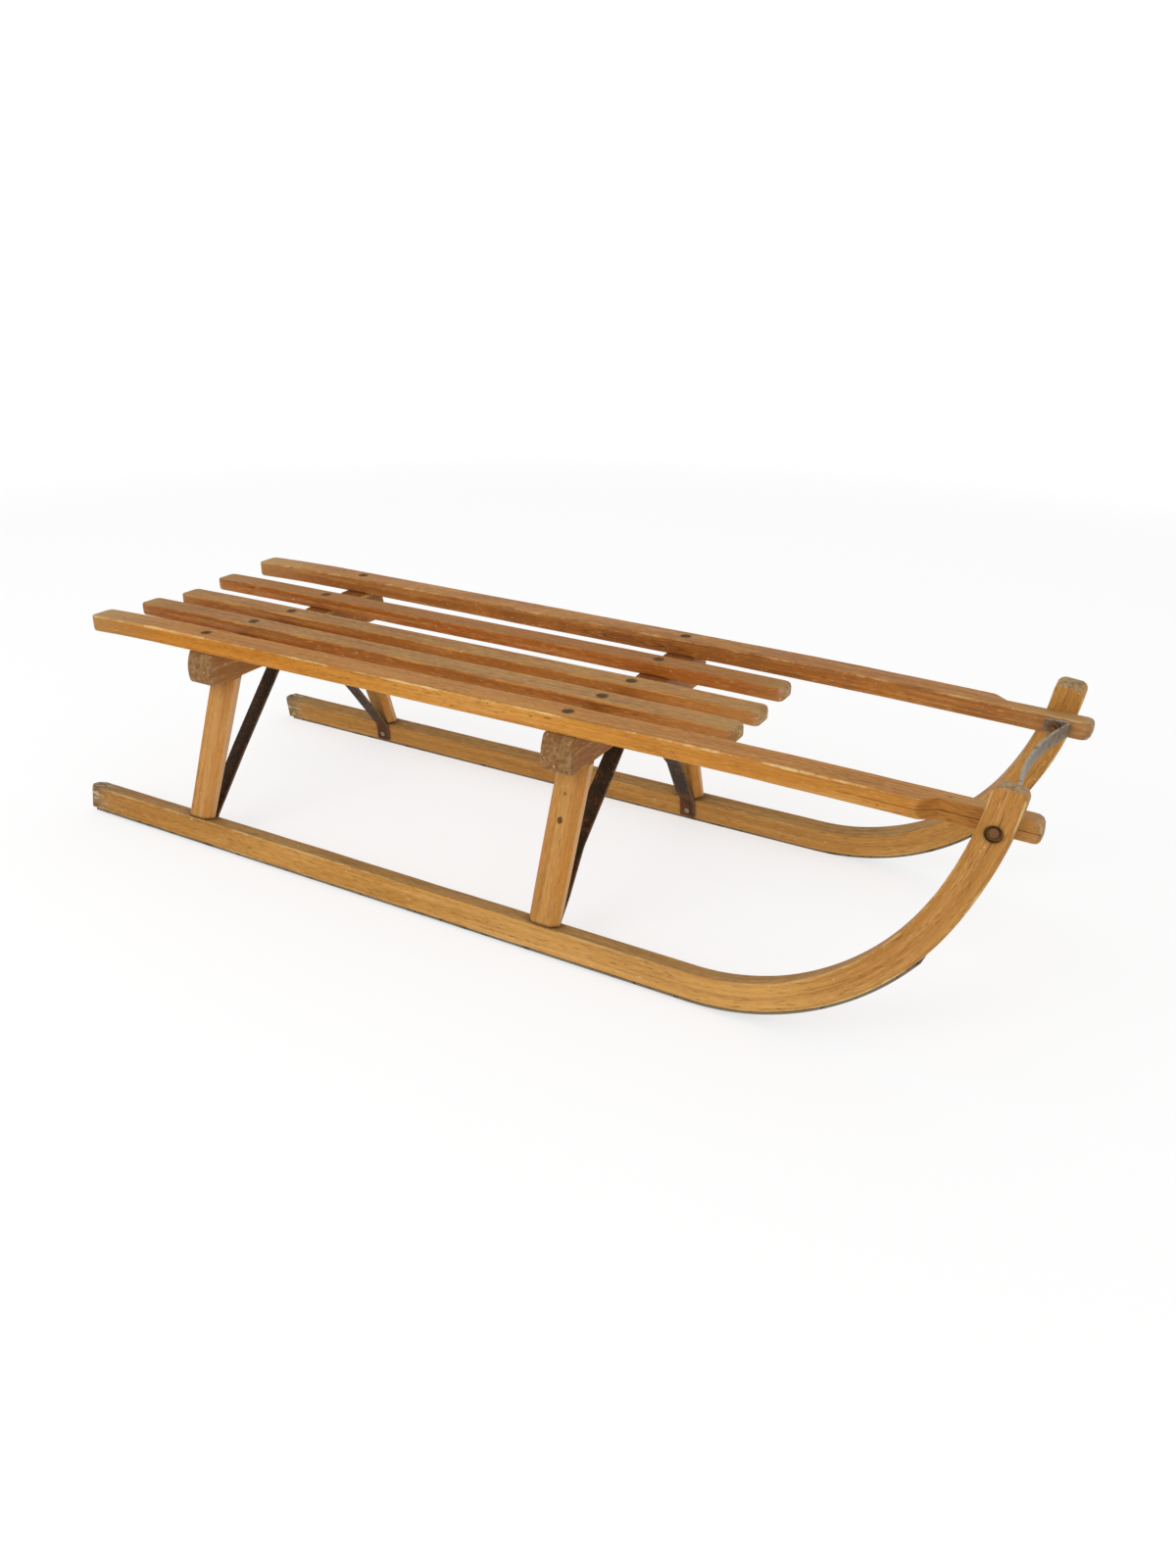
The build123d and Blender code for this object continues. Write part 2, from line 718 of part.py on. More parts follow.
export_step(brace_rear_left.part, "parts/brace_rear_left.step")
brace_front_right.part.label = "brace_front_right"
export_step(brace_front_right.part, "parts/brace_front_right.step")
brace_front_left.part.label = "brace_front_left"
export_step(brace_front_left.part, "parts/brace_front_left.step")
front_strap.part.label = "front_strap"
export_step(front_strap.part, "parts/front_strap.step")
horn_bolt_right.part.label = "horn_bolt_right"
export_step(horn_bolt_right.part, "parts/horn_bolt_right.step")
horn_bolt_left.part.label = "horn_bolt_left"
export_step(horn_bolt_left.part, "parts/horn_bolt_left.step")
horn_nut_right.part.label = "horn_nut_right"
export_step(horn_nut_right.part, "parts/horn_nut_right.step")
horn_nut_left.part.label = "horn_nut_left"
export_step(horn_nut_left.part, "parts/horn_nut_left.step")
slat_screws.part.label = "slat_screws"
export_step(slat_screws.part, "parts/slat_screws.step")
brace_screws.part.label = "brace_screws"
export_step(brace_screws.part, "parts/brace_screws.step")
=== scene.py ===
import math
import bmesh
import bpy
import numpy as np
from mathutils import Matrix, Vector, noise


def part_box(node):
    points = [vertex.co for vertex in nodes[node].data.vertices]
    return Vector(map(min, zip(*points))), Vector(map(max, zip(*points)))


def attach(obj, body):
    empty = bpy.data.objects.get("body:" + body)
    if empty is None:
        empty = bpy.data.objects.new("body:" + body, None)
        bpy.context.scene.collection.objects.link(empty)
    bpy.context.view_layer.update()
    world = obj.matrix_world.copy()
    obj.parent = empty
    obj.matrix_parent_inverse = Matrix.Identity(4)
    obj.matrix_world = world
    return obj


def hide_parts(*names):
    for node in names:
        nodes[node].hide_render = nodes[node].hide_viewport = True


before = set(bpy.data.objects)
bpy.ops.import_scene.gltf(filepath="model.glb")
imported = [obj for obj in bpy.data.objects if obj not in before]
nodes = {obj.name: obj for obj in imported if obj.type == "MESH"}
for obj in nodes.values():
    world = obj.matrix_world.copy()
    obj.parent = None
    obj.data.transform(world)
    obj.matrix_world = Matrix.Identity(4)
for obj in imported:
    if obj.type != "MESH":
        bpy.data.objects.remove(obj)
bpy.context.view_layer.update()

scene = bpy.context.scene
print("frame loaded with", len(nodes), "nodes")

mm = 0.001
sides = {"right": -1, "left": 1}


# sizes that several pieces share

crossXs = {"rear": -0.3735, "front": 0.1065}
crossUnder = 0.196
crossMiddle = (crossXs["front"] + crossXs["rear"]) / 2
crossApart = crossXs["front"] - crossXs["rear"]
lean = math.radians(8.66)  # the runners' planes lean inward going up
halfTrack = 0.1969
shoeInset = 1 * mm
runnerLook = {
    "rear": -0.5645, "thick": 23.2 * mm, "deep": 28.8 * mm, "low": 2.3 * mm, "edge": 2.2 * mm,
    "bendX": 0.2745, "bendRadius": 0.2654, "bendAngle": math.radians(61.5), "hornRadius": 0.3769,
    "hornEnd": math.radians(84), "swell": 1.9 * mm, "hornCorner": 8.5 * mm, "rearChamfer": 8 * mm,
    "boltHeight": 0.240, "recess": 7 * mm, "recessDeep": 4 * mm, "step": 8 * mm, "crown": (0.0, 1.2 * mm),
    "tipRound": 2 * mm, "heelRound": 2.5 * mm, "boltZone": 12 * mm, "boltStep": 2 * mm,
    "sideWear": (0.2 * mm, 7), "topWear": (0.15 * mm, 6), "edgeWear": (0.9, 0.4, 18),
    "seeds": {"right": 8.2, "left": 9.7}, "tones": {"right": 0.0, "left": 0.7},
}
frameZ = (runnerLook["thick"] - shoeInset) * math.sin(lean)  # stands the shoes' inner edges on the ground
runnerTop = runnerLook["low"] + runnerLook["deep"]  # over the shoe, in the runner's own plane
runnerTopZ = frameZ + runnerTop * math.cos(lean)


def runnerLengths(look):  # from the heel: straight, bend and horn
    middle = look["low"] + look["deep"] / 2
    straight = look["bendX"] - look["rear"]
    bend = (look["bendRadius"] - middle) * look["bendAngle"]
    horn = (look["hornRadius"] - middle) * (look["hornEnd"] - look["bendAngle"])
    return straight, bend, horn


def runnerPoint(length, height, look):  # forward and up in the runner's own plane
    straight, bend, horn = runnerLengths(look)
    middle = look["low"] + look["deep"] / 2
    depth = middle + height
    turn = np.clip((length - straight) / (look["bendRadius"] - middle), 0, look["bendAngle"])
    turn = turn + np.clip((length - straight - bend) / (look["hornRadius"] - middle), 0, None)
    reach = look["hornRadius"] - look["bendRadius"]
    onHorn = length > straight + bend
    centreX = look["bendX"] + np.where(onHorn, -reach * math.sin(look["bendAngle"]), 0)
    centreUp = look["bendRadius"] + np.where(onHorn, reach * math.cos(look["bendAngle"]), 0)
    radius = np.where(onHorn, look["hornRadius"], look["bendRadius"]) - depth
    shift = look["swell"] * (0.5 - height / look["deep"]) * np.clip(length / straight, 0, 1)
    flat = look["rear"] + np.minimum(length, straight)
    forward = np.where(length < straight, flat, centreX + radius * np.sin(turn)) + shift
    upward = np.where(length < straight, depth, centreUp - radius * np.cos(turn))
    return forward, upward


def boltLength(look):  # how far along the runner the horn's bolt is, found by halving the horn
    low, high = sum(runnerLengths(look)[:2]), sum(runnerLengths(look))
    aim = (look["boltHeight"] - frameZ) / math.cos(lean)
    for step in range(40):
        half = (low + high) / 2
        if runnerPoint(np.array([half]), 0.0, look)[1][0] < aim:
            low = half
        else:
            high = half
    return half


# shader sums

class Value:  # a shader socket that takes part in sums
    def __init__(self, sheet, socket):
        self.sheet = sheet
        self.socket = socket

    def __add__(self, other):
        return self.sheet.maths("ADD", self, other)

    def __sub__(self, other):
        return self.sheet.maths("SUBTRACT", self, other)

    def __rsub__(self, other):
        return self.sheet.maths("SUBTRACT", other, self)

    def __mul__(self, other):
        return self.sheet.maths("MULTIPLY", self, other)

    def __truediv__(self, other):
        return self.sheet.maths("DIVIDE", self, other)

    __radd__ = __add__
    __rmul__ = __mul__


class Sheet:  # one material and the nodes in it
    def __init__(self, name):
        self.material = bpy.data.materials.new(name)
        self.material.use_nodes = True
        self.tree = self.material.node_tree
        self.tree.nodes.clear()

    def node(self, kind, settings=None, inputs=None):
        made = self.tree.nodes.new(kind)
        for key, value in (settings or {}).items():
            setattr(made, key, value)
        for key, value in (inputs or {}).items():
            if isinstance(value, Value):
                self.tree.links.new(value.socket, made.inputs[key])
            else:
                made.inputs[key].default_value = value
        return made

    def maths(self, operation, *parts):
        made = self.node("ShaderNodeMath", {"operation": operation}, dict(enumerate(parts)))
        return Value(self, made.outputs[0])

    def attribute(self, name, output):
        made = self.node("ShaderNodeAttribute", {"attribute_name": name})
        return Value(self, made.outputs[output])

    def coordinates(self, output):
        return Value(self, self.node("ShaderNodeTexCoord").outputs[output])

    def split(self, vector):
        made = self.node("ShaderNodeSeparateXYZ", inputs={0: vector})
        return [Value(self, out) for out in made.outputs]

    def combine(self, x, y, z):
        return Value(self, self.node("ShaderNodeCombineXYZ", inputs={0: x, 1: y, 2: z}).outputs[0])

    def noise(self, vector, scale=1.0, detail=2.0, roughness=0.5):
        wanted = {"Vector": vector, "Scale": scale, "Detail": detail, "Roughness": roughness}
        return Value(self, self.node("ShaderNodeTexNoise", inputs=wanted).outputs[0])

    def smooth(self, value, low, high):
        settings = {"interpolation_type": "SMOOTHSTEP"}
        made = self.node("ShaderNodeMapRange", settings, {"Value": value, "From Min": low, "From Max": high})
        return Value(self, made.outputs[0])

    def blend(self, factor, first, second):
        settings = {"data_type": "RGBA", "clamp_factor": True}
        made = self.node("ShaderNodeMix", settings, {0: factor, 6: first, 7: second})
        return Value(self, made.outputs[2])

    def facingUp(self):  # 1 on a level top, -1 underneath
        return self.split(self.coordinates("Normal"))[2]

    def bump(self, height, strength, distance):
        wanted = {"Height": height, "Strength": strength, "Distance": distance}
        return Value(self, self.node("ShaderNodeBump", inputs=wanted).outputs[0])

    def finish(self, wanted):
        shader = self.node("ShaderNodeBsdfPrincipled", inputs=wanted)
        self.node("ShaderNodeOutputMaterial", inputs={"Surface": Value(self, shader.outputs[0])})
        return self.material


def rgb(text):  # a display colour as linear light
    parts = [int(text[i:i + 2], 16) / 255 for i in (0, 2, 4)]
    return tuple(((c + 0.055) / 1.055) ** 2.4 if c > 0.04045 else c / 12.92 for c in parts) + (1.0,)


# wood

class WoodSheet(Sheet):  # knows its place in the board and in the log it was sawn from
    def __init__(self, name):
        super().__init__(name)
        self.along, self.across, self.up = self.split(self.attribute("grain", "Vector"))
        self.sideways, self.upright, self.fromEnd = self.split(self.attribute("section", "Vector"))
        self.seed = self.attribute("seed", "Fac")
        self.tone = self.attribute("tone", "Fac")
        self.log = (self.along + self.seed * 3.7, self.across + self.seed * 0.71, self.up + self.seed * 0.43)
        self.top = self.smooth(self.facingUp(), 0.6, 0.9)
        self.wander = self.grain(2.1, 9) - 0.5
        self.sway = self.grain(1.7, 9, shift=(31, 0)) - 0.5
        self.broad = self.grain(4, 130, 3, 0.6)
        self.streak = self.grain(9, 520, 2, 0.6)
        self.fibre = self.grain(60, 1500, 2, 0.6)
        self.dash = self.grain(95, 850, 2, 0.55)
        self.blotch = self.grain(6, 18, 3, 0.62)
        self.patch = self.grain(19, 45, 3, 0.68)
        self.speck = self.grain(260, 330)
        self.crumb = self.grain(420, 420, 3, 0.7)

    def grain(self, alongRate, acrossRate, detail=2, roughness=0.5, shift=(0, 0)):  # rates in waves a metre
        a, b, c = self.log
        spot = self.combine(a * alongRate + shift[0], b * acrossRate, c * acrossRate + shift[1])
        return self.noise(spot, detail=detail, roughness=roughness)

    def endGrain(self, alongRate, acrossRate, detail=2, roughness=0.5):  # as a sawn end shows it
        a, b, c = self.log
        spot = self.combine(b * acrossRate, c * acrossRate, a * alongRate)
        return self.noise(spot, detail=detail, roughness=roughness)

    def distance(self, parts):
        return self.maths("SQRT", sum(part * part for part in parts))

    def inEllipse(self, parts, middle, reach):  # 0 in its middle, 1 on its outline
        return self.distance([(part - at) / size for part, at, size in zip(parts, middle, reach)])

    def onBoard(self, owner):  # 1 on the board with this seed, 0 on the others
        return 1 - self.smooth(self.maths("ABSOLUTE", self.seed - owner), 0.05, 0.1)

    def paint(self, cover, colour):
        self.colour = self.blend(cover, self.colour, colour)


def paintFigure(s, look):  # growth rings round a pith that lies outside the board, streaks and flecks
    fromPithY = s.across + look["pith"][0] + s.wander * look["sway"]
    fromPithZ = s.up + look["pith"][1] + s.sway * look["sway"]
    ring = s.maths("FRACT", s.distance((fromPithY, fromPithZ)) / look["ringWidth"] + s.wander * 1.5)
    s.lateWood = s.smooth(ring, 0.3, 0.9) * (1 - s.smooth(ring, 0.9, 1.0))
    s.colour = s.blend(s.smooth(s.blotch, 0.32, 0.68), look["base"], look["deep"])
    s.paint(s.tone, s.blend(s.smooth(s.patch, 0.3, 0.7) * 0.5, look["toneColour"], look["deep"]))
    for start, end, shifted, amount in look["shifts"]:  # varnish that is older toward one end
        s.paint(s.smooth(s.along, start, end) * (1 - s.tone) * amount, shifted)
    s.paint(s.lateWood * look["ringDark"], look["ringColour"])
    s.paint(s.smooth(s.broad, 0.46, 0.72) * look["broadDark"], look["dark"])
    s.paint(s.smooth(s.broad, 0.5, 0.28) * look["broadPale"], look["pale"])
    s.paint(s.smooth(s.streak, 0.5, 0.75) * look["streakDark"], look["dark"])
    flecks = s.smooth(s.dash, 0.56, 0.69) * (s.smooth(s.patch, 0.35, 0.62) * 0.8 + 0.2)
    s.paint(flecks * look["fleck"], look["dark"])
    s.paint(s.smooth(s.dash, 0.42, 0.3) * look["fleck"] * 0.5, look["pale"])
    s.paint(s.smooth(s.fibre, 0.35, 0.7) * 0.15, look["dark"])


def paintWear(s, look):  # tops handled dark, edges rubbed pale, and a painted highlight on the side that faces the light
    worn = s.smooth(s.patch * 0.5 + s.blotch * 0.5, 0.38, 0.6)
    topBase = s.blend(s.tone, look["top"], look["topTone"])
    topColour = s.blend(s.smooth(s.dash + s.streak, 0.8, 1.2) * 0.7, topBase, look["topDark"])
    s.paint(s.top * (worn * 0.5 + 0.5) * look["topWear"], topColour)
    fromSide = (1 - s.maths("ABSOLUTE", s.sideways)) * (look["wide"] / 2)
    fromFace = (1 - s.maths("ABSOLUTE", s.upright)) * (look["deepness"] / 2)
    fromEdge = fromSide + fromFace - (2 - math.sqrt(2)) * look["round"]  # 0 in the middle of a rounded edge
    cover = s.smooth(s.upright, -0.2, 0.2) * (look["rubHigh"] - look["rubLow"]) + look["rubLow"]
    reach = s.smooth(s.patch, 0.4, 0.75) * look["rubReach"]
    broken = s.smooth(s.patch * 0.6 + s.crumb * 0.4, 0.42, 0.56)
    rub = (1 - s.smooth(fromEdge - reach, -0.3 * mm, 0.8 * mm)) * broken
    s.paint(rub * cover * (1 - s.tone * 0.5), look["edge"])
    # painted highlight: a paler colour on the side that faces the light
    s.paint(s.smooth(s.sideways, 0.955, 0.985) * look["flankHighlight"], look["flankHighlightColour"])
    s.rough = s.rough + rub * 0.08


def paintEnds(s, look):  # ends weathered for a way, then sawn faces, then grey chalk and grime over both
    weathered = s.smooth(look["weatherFrom"] - s.along, 0.0, 0.01)  # only the ends behind this point
    ending = (1 - s.smooth(s.fromEnd + (s.patch - 0.5) * 0.07, 0.006, look["endReach"])) * weathered
    ending = ending * s.smooth(s.patch * 0.5 + s.dash * 0.5, 0.36, 0.52) * (s.top * 0.6 + 0.4)
    s.paint(ending * look["endWear"], look["end"])
    cutFace = 1 - s.smooth(s.fromEnd, 0.4 * mm, look["endDeep"])
    endSpeck = s.smooth(s.endGrain(40, 700), 0.4, 0.62)
    endMottle = s.smooth(s.endGrain(40, 190, 3, 0.7), 0.42, 0.6)
    endDark = s.maths("MAXIMUM", s.lateWood * 0.5, endSpeck * 0.6)
    endColour = s.blend(endDark, look["endGrain"], look["dark"])
    s.paint(cutFace * look["endCover"], s.blend(endMottle * look["endPale"], endColour, look["edge"]))
    nearEnd = (1 - s.smooth(s.fromEnd + (s.patch - 0.5) * 0.02, 0.001, look["greyReach"])) * weathered
    chalk = s.smooth(s.grain(60, 190, 3, 0.65), 0.5, 0.6)
    grime = s.smooth(s.grain(45, 110, 3, 0.65, shift=(3, 0)), 0.5, 0.62)
    grimy = s.blend(grime, look["endMiddle"], look["endDark"])
    s.paint(nearEnd * look["greying"], s.blend(chalk * look["chalk"], grimy, look["endWhite"]))
    # a dark band at a board's very ends; on the legs, where they meet the runner and the crosspiece
    foot = 1 - s.smooth(s.fromEnd + s.patch * (2 * mm), 0.6 * mm, 4.5 * mm)
    s.paint(foot * look["footDark"], look["crack"])
    s.rough = s.rough + ending * 0.15
    s.height = s.height - cutFace * s.crumb * 0.8


def paintCracks(s, look):  # long thin cracks along the grain, small dark pits and pale scuffs
    row = s.maths("FRACT", (s.log[1] + s.log[2]) * 70 + s.wander * 2.5 + s.streak * 0.06) - 0.5
    here = s.smooth(s.grain(11, 30, shift=(0, 5)), 0.54, 0.64)
    crack = (1 - s.smooth(s.maths("ABSOLUTE", row), 0.004, 0.018)) * here * look["checks"]
    s.paint(crack, look["crack"])
    pit = s.smooth(s.speck, 0.70, 0.76) * s.smooth(s.patch, 0.4, 0.6)
    s.paint(pit * look["pits"], look["crack"])
    scuff = s.smooth(s.grain(150, 230, shift=(9, 0)), 0.72, 0.76)
    s.paint(scuff * look["scuffs"], look["endWhite"])
    s.height = s.height - crack * 2.5 - pit * 1.5


def paintSpots(s, look):  # pegs, nails, dents and darker patches, each on one board
    for owner, middle, reach, amount in look["spots"]:
        off = s.inEllipse((s.along, s.across, s.up), middle, reach)
        spot = 1 - s.smooth(off + (s.crumb - 0.5) * 0.8, 0.6, 1.0)
        s.paint(spot * s.onBoard(owner) * amount, look["crack"])


def paintEye(s, look):  # grain that swirls round a small knot
    owner, middle, reach = look["eye"]
    off = s.inEllipse((s.along, s.up), middle, reach) + s.wander * 0.6
    loops = s.smooth(s.maths("ABSOLUTE", s.maths("FRACT", off * 1.6) - 0.5), 0.28, 0.06)
    s.paint(loops * (1 - s.smooth(off, 1.0, 2.2)) * s.onBoard(owner) * 0.5, look["crack"])


def paintScrewStains(s, look):  # a dark ring round each screw
    offAlong = s.maths("ABSOLUTE", s.along - crossMiddle) - crossApart / 2
    offScrew = s.distance((offAlong, s.across)) + (s.patch - 0.5) * (3 * mm)
    low, high = look["screwStain"]
    s.paint((1 - s.smooth(offScrew, low, high)) * s.top * 0.65, look["stain"])


def paintNotch(s, look):  # the face cut back for the horn, outside the rail, and a split behind it
    back = look["notch"] - 18 * mm
    cutBack = s.smooth(s.along - s.up * s.up * 70, back, back + 1.5 * mm)
    cutBack = cutBack * (1 - s.smooth(s.along, look["notchEnd"], look["notchEnd"] + 5 * mm))
    cutBack = cutBack * (1 - s.smooth(s.sideways, -0.95, -0.85))
    s.paint(cutBack * 0.85, s.blend(s.smooth(s.dash, 0.42, 0.66) * 0.5, look["notchColour"], look["dark"]))
    line = s.maths("ABSOLUTE", s.up - look["splitAt"] + (s.wander + s.streak * 0.12) * (4 * mm))
    split = (1 - s.smooth(line, 0.1 * mm, 0.4 * mm)) * s.smooth(s.patch, 0.28, 0.36)
    split = split * s.smooth(s.along, look["splitFrom"], look["splitFrom"] + 15 * mm)
    split = split * (1 - s.smooth(s.sideways, -0.6, -0.4))
    s.paint(split * 0.8, look["crack"])
    s.height = s.height - split * 2.5


def paintBolt(s, look):  # rust and grime round the horn's bolt, its recess painted darker, and a fine split through it
    fromBolt = s.distance((s.along - look["bolt"], s.up))
    outside = s.smooth(s.sideways, 0.5, 0.8)
    halo = 1 - s.smooth(fromBolt + (s.patch - 0.5) * (5 * mm), 5 * mm, 12 * mm)
    s.paint(halo * outside * 0.5, look["stain"])
    # the recess round the bolt painted darker
    well = 1 - s.smooth(fromBolt, 7.2 * mm, 8.6 * mm)
    s.paint(well * outside * 0.8, look["well"])
    line = s.maths("ABSOLUTE", s.up + s.wander * (5 * mm) + 1.5 * mm)
    split = (1 - s.smooth(line, 0.12 * mm, 0.45 * mm)) * (1 - s.smooth(fromBolt, 12 * mm, 30 * mm))
    s.paint(split * outside * 0.75, look["crack"])


def woodMaterial(name, look, extras=()):
    s = WoodSheet(name)
    s.rough = s.smooth(s.patch, 0.2, 0.8) * 0.16 + look["rough"] + s.top * 0.05
    s.height = s.fibre * 0.3 + s.dash * 0.4 + s.streak * 0.3
    for paint in (paintFigure, paintWear, paintEnds, paintCracks, paintSpots, *extras):
        paint(s, look)
    return s.finish({
        "Base Color": s.colour,
        "Roughness": s.rough,
        "Normal": s.bump(s.height, 0.5, 0.3 * mm),
        "Specular IOR Level": look["shine"],
    })


commonWood = {
    "dark": rgb("5E3A1A"), "pale": rgb("DDB070"), "ringColour": rgb("7E4F22"), "crack": rgb("24140A"),
    # the flank colour on the next line is the paler colour of a painted highlight
    "stain": rgb("4E3014"), "well": rgb("3A2210"), "flankHighlightColour": rgb("CBA478"),
    "topTone": rgb("A88459"), "topDark": rgb("6B4A2C"), "endGrain": rgb("7D6444"),
    "endMiddle": rgb("8E7652"), "endDark": rgb("5E4A34"), "endWhite": rgb("DDD1BA"),
    "pith": (0.03, -0.055), "sway": 0.014, "ringWidth": 4.2 * mm, "ringDark": 0.12,
    "broadDark": 0.22, "broadPale": 0.22, "streakDark": 0.22, "fleck": 0.6, "checks": 0.7,
    "pits": 0.7, "scuffs": 0.35, "rough": 0.45, "shine": 0.12, "flankHighlight": 0.0, "footDark": 0.0,
    "rubReach": 0.9 * mm, "weatherFrom": 9.0, "greyReach": 0.012, "greying": 0.35, "chalk": 0.6,
    "endDeep": 1.6 * mm, "endPale": 0.25, "endCover": 0.85, "screwStain": (5.8 * mm, 8.0 * mm),
    "shifts": (),  # where each starts and ends along the board, its colour and how much it covers
    "spots": (),  # the board's seed, middle, reach and how much it covers
}
woods = {
    "runner_wood": woodMaterial("runnerWood", {
        **commonWood, "wide": runnerLook["thick"], "deepness": runnerLook["deep"], "round": 2.2 * mm,
        "base": rgb("C8934A"), "deep": rgb("B27D36"), "toneColour": rgb("A87434"),
        "shifts": (
            (0.48, 0.64, rgb("DCA861"), 0.45),
            (0.90, 1.06, rgb("AD7737"), 0.95),
            (0.34, 0.12, rgb("AC7733"), 1.0)),
        # darker patches on each runner's top round the legs' feet
        "spots": tuple((seed, (foot, 0.0, 14.4 * mm), (32 * mm, 16 * mm, 5 * mm), 0.3)
                       for seed in runnerLook["seeds"].values() for foot in (0.187, 0.670)),
        "top": rgb("AD884B"), "topTone": rgb("B8955A"), "topWear": 0.75,
        "edge": rgb("D6B67C"), "rubHigh": 0.5, "rubLow": 0.75,
        "end": rgb("8E7550"), "endWear": 0.6, "endReach": 0.11, "endGrain": rgb("9A8464"),
        "endPale": 0.35, "endDeep": 2.6 * mm, "endMiddle": rgb("7E6A4A"),
        "weatherFrom": 0.5, "greyReach": 0.046, "greying": 0.92, "chalk": 0.55,
        "bolt": boltLength(runnerLook),
    }, [paintBolt]),
    "leg_wood": woodMaterial("legWood", {
        **commonWood, "wide": 37 * mm, "deepness": 21 * mm, "round": 13.6 * mm,
        "base": rgb("C48E49"), "deep": rgb("B37E3C"), "toneColour": rgb("BC8649"),
        "spots": (
            (12.5, (0.112, 0.0, -0.0105), (4.6 * mm, 4 * mm, 3 * mm), 0.8),
            (12.5, (0.140, 0.0, -0.0105), (2.4 * mm, 2.4 * mm, 3 * mm), 0.5)),
        # each leg's front face painted paler as a highlight
        "top": rgb("A88459"), "topWear": 0.2, "flankHighlight": 0.75,
        "edge": rgb("BC7834"), "rubHigh": 0.6, "rubLow": 0.6,
        # each leg darker at both ends, where it meets the runner and the crosspiece
        "end": rgb("8A5F30"), "endWear": 0.3, "endReach": 0.03, "endCover": 0.0, "footDark": 0.7,
        "checks": 0.15, "greying": 0.0,
    }),
    "crosspiece_wood": woodMaterial("crosspieceWood", {
        **commonWood, "wide": 38 * mm, "deepness": 36 * mm, "round": 3.2 * mm,
        "base": rgb("9A6635"), "deep": rgb("885729"), "toneColour": rgb("8C6340"),
        "top": rgb("8E4E14"), "topWear": 0.6,
        "edge": rgb("BE9A5C"), "rubHigh": 0.75, "rubLow": 0.7,
        "end": rgb("845F36"), "endWear": 0.4, "endReach": 0.03, "endGrain": rgb("7C5026"), "endDeep": 5 * mm,
        "scuffs": 0.6, "greying": 0.15,
    }),
    "rail_wood": woodMaterial("railWood", {
        **commonWood, "wide": 33 * mm, "deepness": 20 * mm, "round": 3 * mm,
        "base": rgb("C68734"), "deep": rgb("B66F24"), "toneColour": rgb("84491E"),
        "shifts": (
            (-0.05, -0.30, rgb("BA7414"), 0.85),
            (-0.40, -0.50, rgb("A0661E"), 0.75),
            (0.24, 0.40, rgb("B67B32"), 0.6)),
        "spots": (
            (4.3, (-0.497, -0.008, 0.010), (4 * mm, 1.3 * mm, 2 * mm), 0.7),
            (4.3, (0.484, 0.0036, 0.010), (1.6 * mm, 1.2 * mm, 2 * mm), 0.8),
            (4.3, (0.092, -0.0165, 0.005), (6 * mm, 3 * mm, 0.8 * mm), 0.7),
            (4.3, (0.073, -0.0165, 0.003), (3 * mm, 3 * mm, 0.9 * mm), 0.6)),
        "eye": (6.3, (0.045, -0.002), (0.042, 0.0032)),
        "top": rgb("C48A4C"), "topTone": rgb("D49A58"), "topWear": 0.85, "topDark": rgb("7A4E26"),
        "edge": rgb("E6C286"), "rubHigh": 0.8, "rubLow": 0.15, "rubReach": 0.7 * mm,
        "end": rgb("B4986A"), "endWear": 0.65, "endReach": 0.13,
        "notch": 0.4764, "notchEnd": 0.541, "notchColour": rgb("A66C2C"),
        "splitAt": -0.5 * mm, "splitFrom": 0.385, "checks": 0.8, "pits": 0.9,
    }, [paintEye, paintScrewStains, paintNotch]),
    "slat_wood": woodMaterial("slatWood", {
        **commonWood, "wide": 31 * mm, "deepness": 16 * mm, "round": 2.8 * mm,
        "base": rgb("B06E2C"), "deep": rgb("9A5A1C"), "toneColour": rgb("A45618"),
        "shifts": (
            (-0.05, -0.30, rgb("8E4C10"), 0.85),
            (0.08, 0.20, rgb("BE8040"), 0.6)),
        "spots": ((3.0, (-0.4856, -0.0155, 0.004), (1.6 * mm, 2 * mm, 1.3 * mm), 0.9),),
        "top": rgb("C29658"), "topTone": rgb("AA7232"), "topWear": 0.9, "topDark": rgb("7A5028"),
        "edge": rgb("CE8E48"), "rubHigh": 0.7, "rubLow": 0.25, "rubReach": 0.7 * mm,
        "end": rgb("AA8858"), "endWear": 0.6, "endReach": 0.06, "endGrain": rgb("BC9A5C"),
    }, [paintScrewStains]),
}
print("wood finishes made")


# steel

